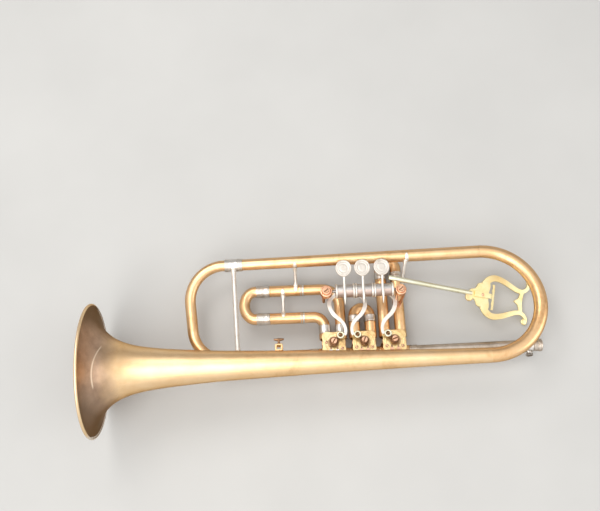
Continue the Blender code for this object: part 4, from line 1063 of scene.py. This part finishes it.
def build_lyre():
    place = lyre_place()
    up = place.col[2].xyz
    shape = Shape()
    plate = [(78, 3.0), (80.5, 5.2), (84, 6.0), (86.5, 8.6), (88, 12.2), (91.5, 13.8), (94, 13.4),
             (96, 16.0), (99.4, 17.0), (103, 14.4), (103.2, 9.0), (102.2, 4.5), (101.8, 0)]
    plate = smooth(plate, 3)
    outline = plate + [(p[0], -p[1]) for p in plate[-2::-1]]
    shape.plate([outline], 2.2, place, 0.35)
    arm = smooth([(96, 12.0), (100.5, 18.2), (106, 21.4), (112, 21.8), (121, 19.6), (130, 15.8),
                  (138, 12.8), (143.5, 12.4), (147.6, 14.2), (150.6, 17.8), (151.0, 21.8)], 5)
    count = len(arm) - 1
    widths = [lerp(8.4, 3.6, (i / count) ** 0.9) for i in range(count + 1)]
    for side, ball, u, v in ((-1, 4.0, 149.2, 21.6), (1, 2.6, 150.6, 24.0)):
        path = [(p[0], side * p[1]) for p in arm]
        shape.plate([strip(path, widths)], 2.0, place, 0.35)
        curl = place @ Vector((u, side * v, 0))
        shape.turned(((0, -1.5), (ball * 0.8, -1.2), (ball, 0), (ball * 0.8, 1.2), (0, 1.5)), 0.6,
                     curl, up, 32)
    bar = [(141.8, 12.4), (140.4, 6), (139.0, 3.4), (135.2, 1.2), (134.2, 0), (135.2, -1.2), (139.0, -3.4),
           (140.4, -6), (141.8, -12.4), (146.2, -12.0), (145.0, -5), (144.6, 0), (145.0, 5), (146.2, 12.0)]
    shape.plate([rounded(bar, 0.7, True)], 1.9, place, 0.35)
    shape.done("lyre_body", "lyre_brass", "lyre_frame", "lyre", flat=True)
    knob = Shape().turned(((0, -1.8), (4.0, -1.5), (4.8, 0), (4.0, 1.5), (0, 1.8)), 0.5,
                          place @ Vector((78.4, -5.0, 0)), up, 32)
    knob.done("lyre_knob", "yellow_brass", body="lyre")
    shape = Shape().sweep([place @ Vector((u, 0, 0)) for u in (-19.5, -18.7, 20, 50, 81)],
                          [2.1, 2.6, 2.6, 2.6, 2.6], 32)
    shape.done("lyre_shank", "pale_brass", body="lyre")

    spring = place @ Matrix.Translation((0, 0, 2.0))
    shape = Shape()
    tongue = smooth([(84, 0), (90, 0), (98, 0), (105, 0)], 4)
    shape.plate([strip(tongue, spread(7.0, 5.6, len(tongue) - 1))], 1.2, spring, 0.25)
    bar = [(105.2 + (0.8 if i % 2 else 0.0), -15.4 + 29.2 * i / 8) for i in range(9)]
    outline = bar + [(108.0, 13.8), (108.4, 7.0), (108.1, 0), (108.4, -7.0), (108.0, -15.4)]
    shape.plate([rounded(outline, 0.5, True)], 1.2, spring, 0.25)
    shape.done("lyre_spring", "lyre_brass", "lyre_clip", "lyre_clip", flat=True)
    rivet = [(0, 0.4), (1.9, 0.4), (1.8, 1.0), (1.0, 1.5), (0, 1.6)]
    shape = Shape().turned(rivet, 0.2, spring @ Vector((93.7, 0, 0)), up, 24)
    shape.done("lyre_rivet", "copper", body="lyre_clip")


# ---- hidden nodes, floor, light, camera

def finish_carried_nodes():
    """The inner pieces keep their CAD shape, and take a finish."""
    finishes = {"rotor": "yellow_brass", "bearing": "yellow_brass", "key_spring": "steel"}
    for name, obj in frame["nodes"].items():
        for start, finish in finishes.items():
            if name.startswith(start):
                obj.data.materials.clear()
                obj.data.materials.append(FINISHES[finish][0])


def build_floor():
    mesh = bpy.data.meshes.new("floor")
    mesh.from_pydata([(-6, -6, 0), (6, -6, 0), (6, 6, 0), (-6, 6, 0)], [], [(0, 1, 2, 3)])
    floor = show("floor", mesh)
    graph = Graph("floor")
    tone = graph.noise(graph.place, 6, 3)
    grey = graph.ramp(tone, (0.3, (0.47, 0.47, 0.465)), (0.7, (0.50, 0.50, 0.495)))
    graph.set(graph.shader, Base_Color=grey, Roughness=0.9)
    mesh.materials.append(graph.material)


def area_light(name, place, target, size, power, colour):
    light = bpy.data.lights.new(name, "AREA")
    light.shape = "RECTANGLE"
    light.size, light.size_y = size
    light.energy = power
    light.color = colour
    obj = show(name, light)
    obj.location = place
    obj.rotation_euler = (Vector(target) - Vector(place)).to_track_quat("-Z", "Y").to_euler()


def build_light():
    """A broad soft ceiling that leans to the front left, dim towards the horizon."""
    world = bpy.data.worlds.new("studio")
    bpy.context.scene.world = world
    graph = Graph("studio", world)
    lean = graph.add("ShaderNodeVectorMath", operation="DOT_PRODUCT")
    graph.feed(lean.inputs[0], graph.texture["Generated"])
    graph.feed(lean.inputs[1], Vector((-0.10, -0.45, 0.89)).normalized())
    colour = graph.ramp(lean.outputs["Value"], (0.0, (0.36, 0.345, 0.33)), (0.35, (0.82, 0.80, 0.78)),
                        (0.90, (1.0, 0.99, 0.97)))
    colour.node.color_ramp.interpolation = "EASE"
    graph.set(graph.shader, Color=colour, Strength=1.1)
    area_light("key", (-0.34, -0.50, 1.25), (-0.1, 0, 0), (0.8, 1.5), 10.5, (1.0, 0.985, 0.95))
    area_light("back_panel", (-0.42, 0.62, 1.05), (0.02, 0.03, 0), (0.5, 0.5), 4.0, (1.0, 0.98, 0.94))
    area_light("end_panel", (1.3, -0.2, 0.45), (0, 0, 0), (0.9, 0.7), 3.5, (1.0, 0.97, 0.92))


def build_camera():
    azimuth, tilt, roll = (radians(a) for a in (-0.31, 90 - 67.0, -2.01))
    turn = (Matrix.Rotation(azimuth, 4, "Z") @ Matrix.Rotation(tilt, 4, "X")
            @ Matrix.Rotation(roll, 4, "Z"))
    data = bpy.data.cameras.new("camera")
    data.sensor_width, data.lens = 36.0, 49.2
    data.clip_start, data.clip_end = 0.01, 50
    camera = show("camera", data)
    camera.matrix_world = LEVEL @ Matrix.Translation(Vector((225.4, -236.8, 851.1)) * MM) @ turn
    bpy.context.scene.camera = camera


build_bell()
build_bows()
build_small_bow()
build_leadpipe()
for valve in VALVE_X:
    build_casing(valve)
    build_valve_bottom(valve)
    build_stop_arm(valve)
    build_key(valve)
    build_link(valve)
build_first_slide()
build_second_slide()
build_third_slide()
build_stand()
build_braces()
build_socket()
build_lyre()
finish_carried_nodes()
build_floor()
build_light()
build_camera()
bpy.context.scene.view_settings.view_transform = "Standard"
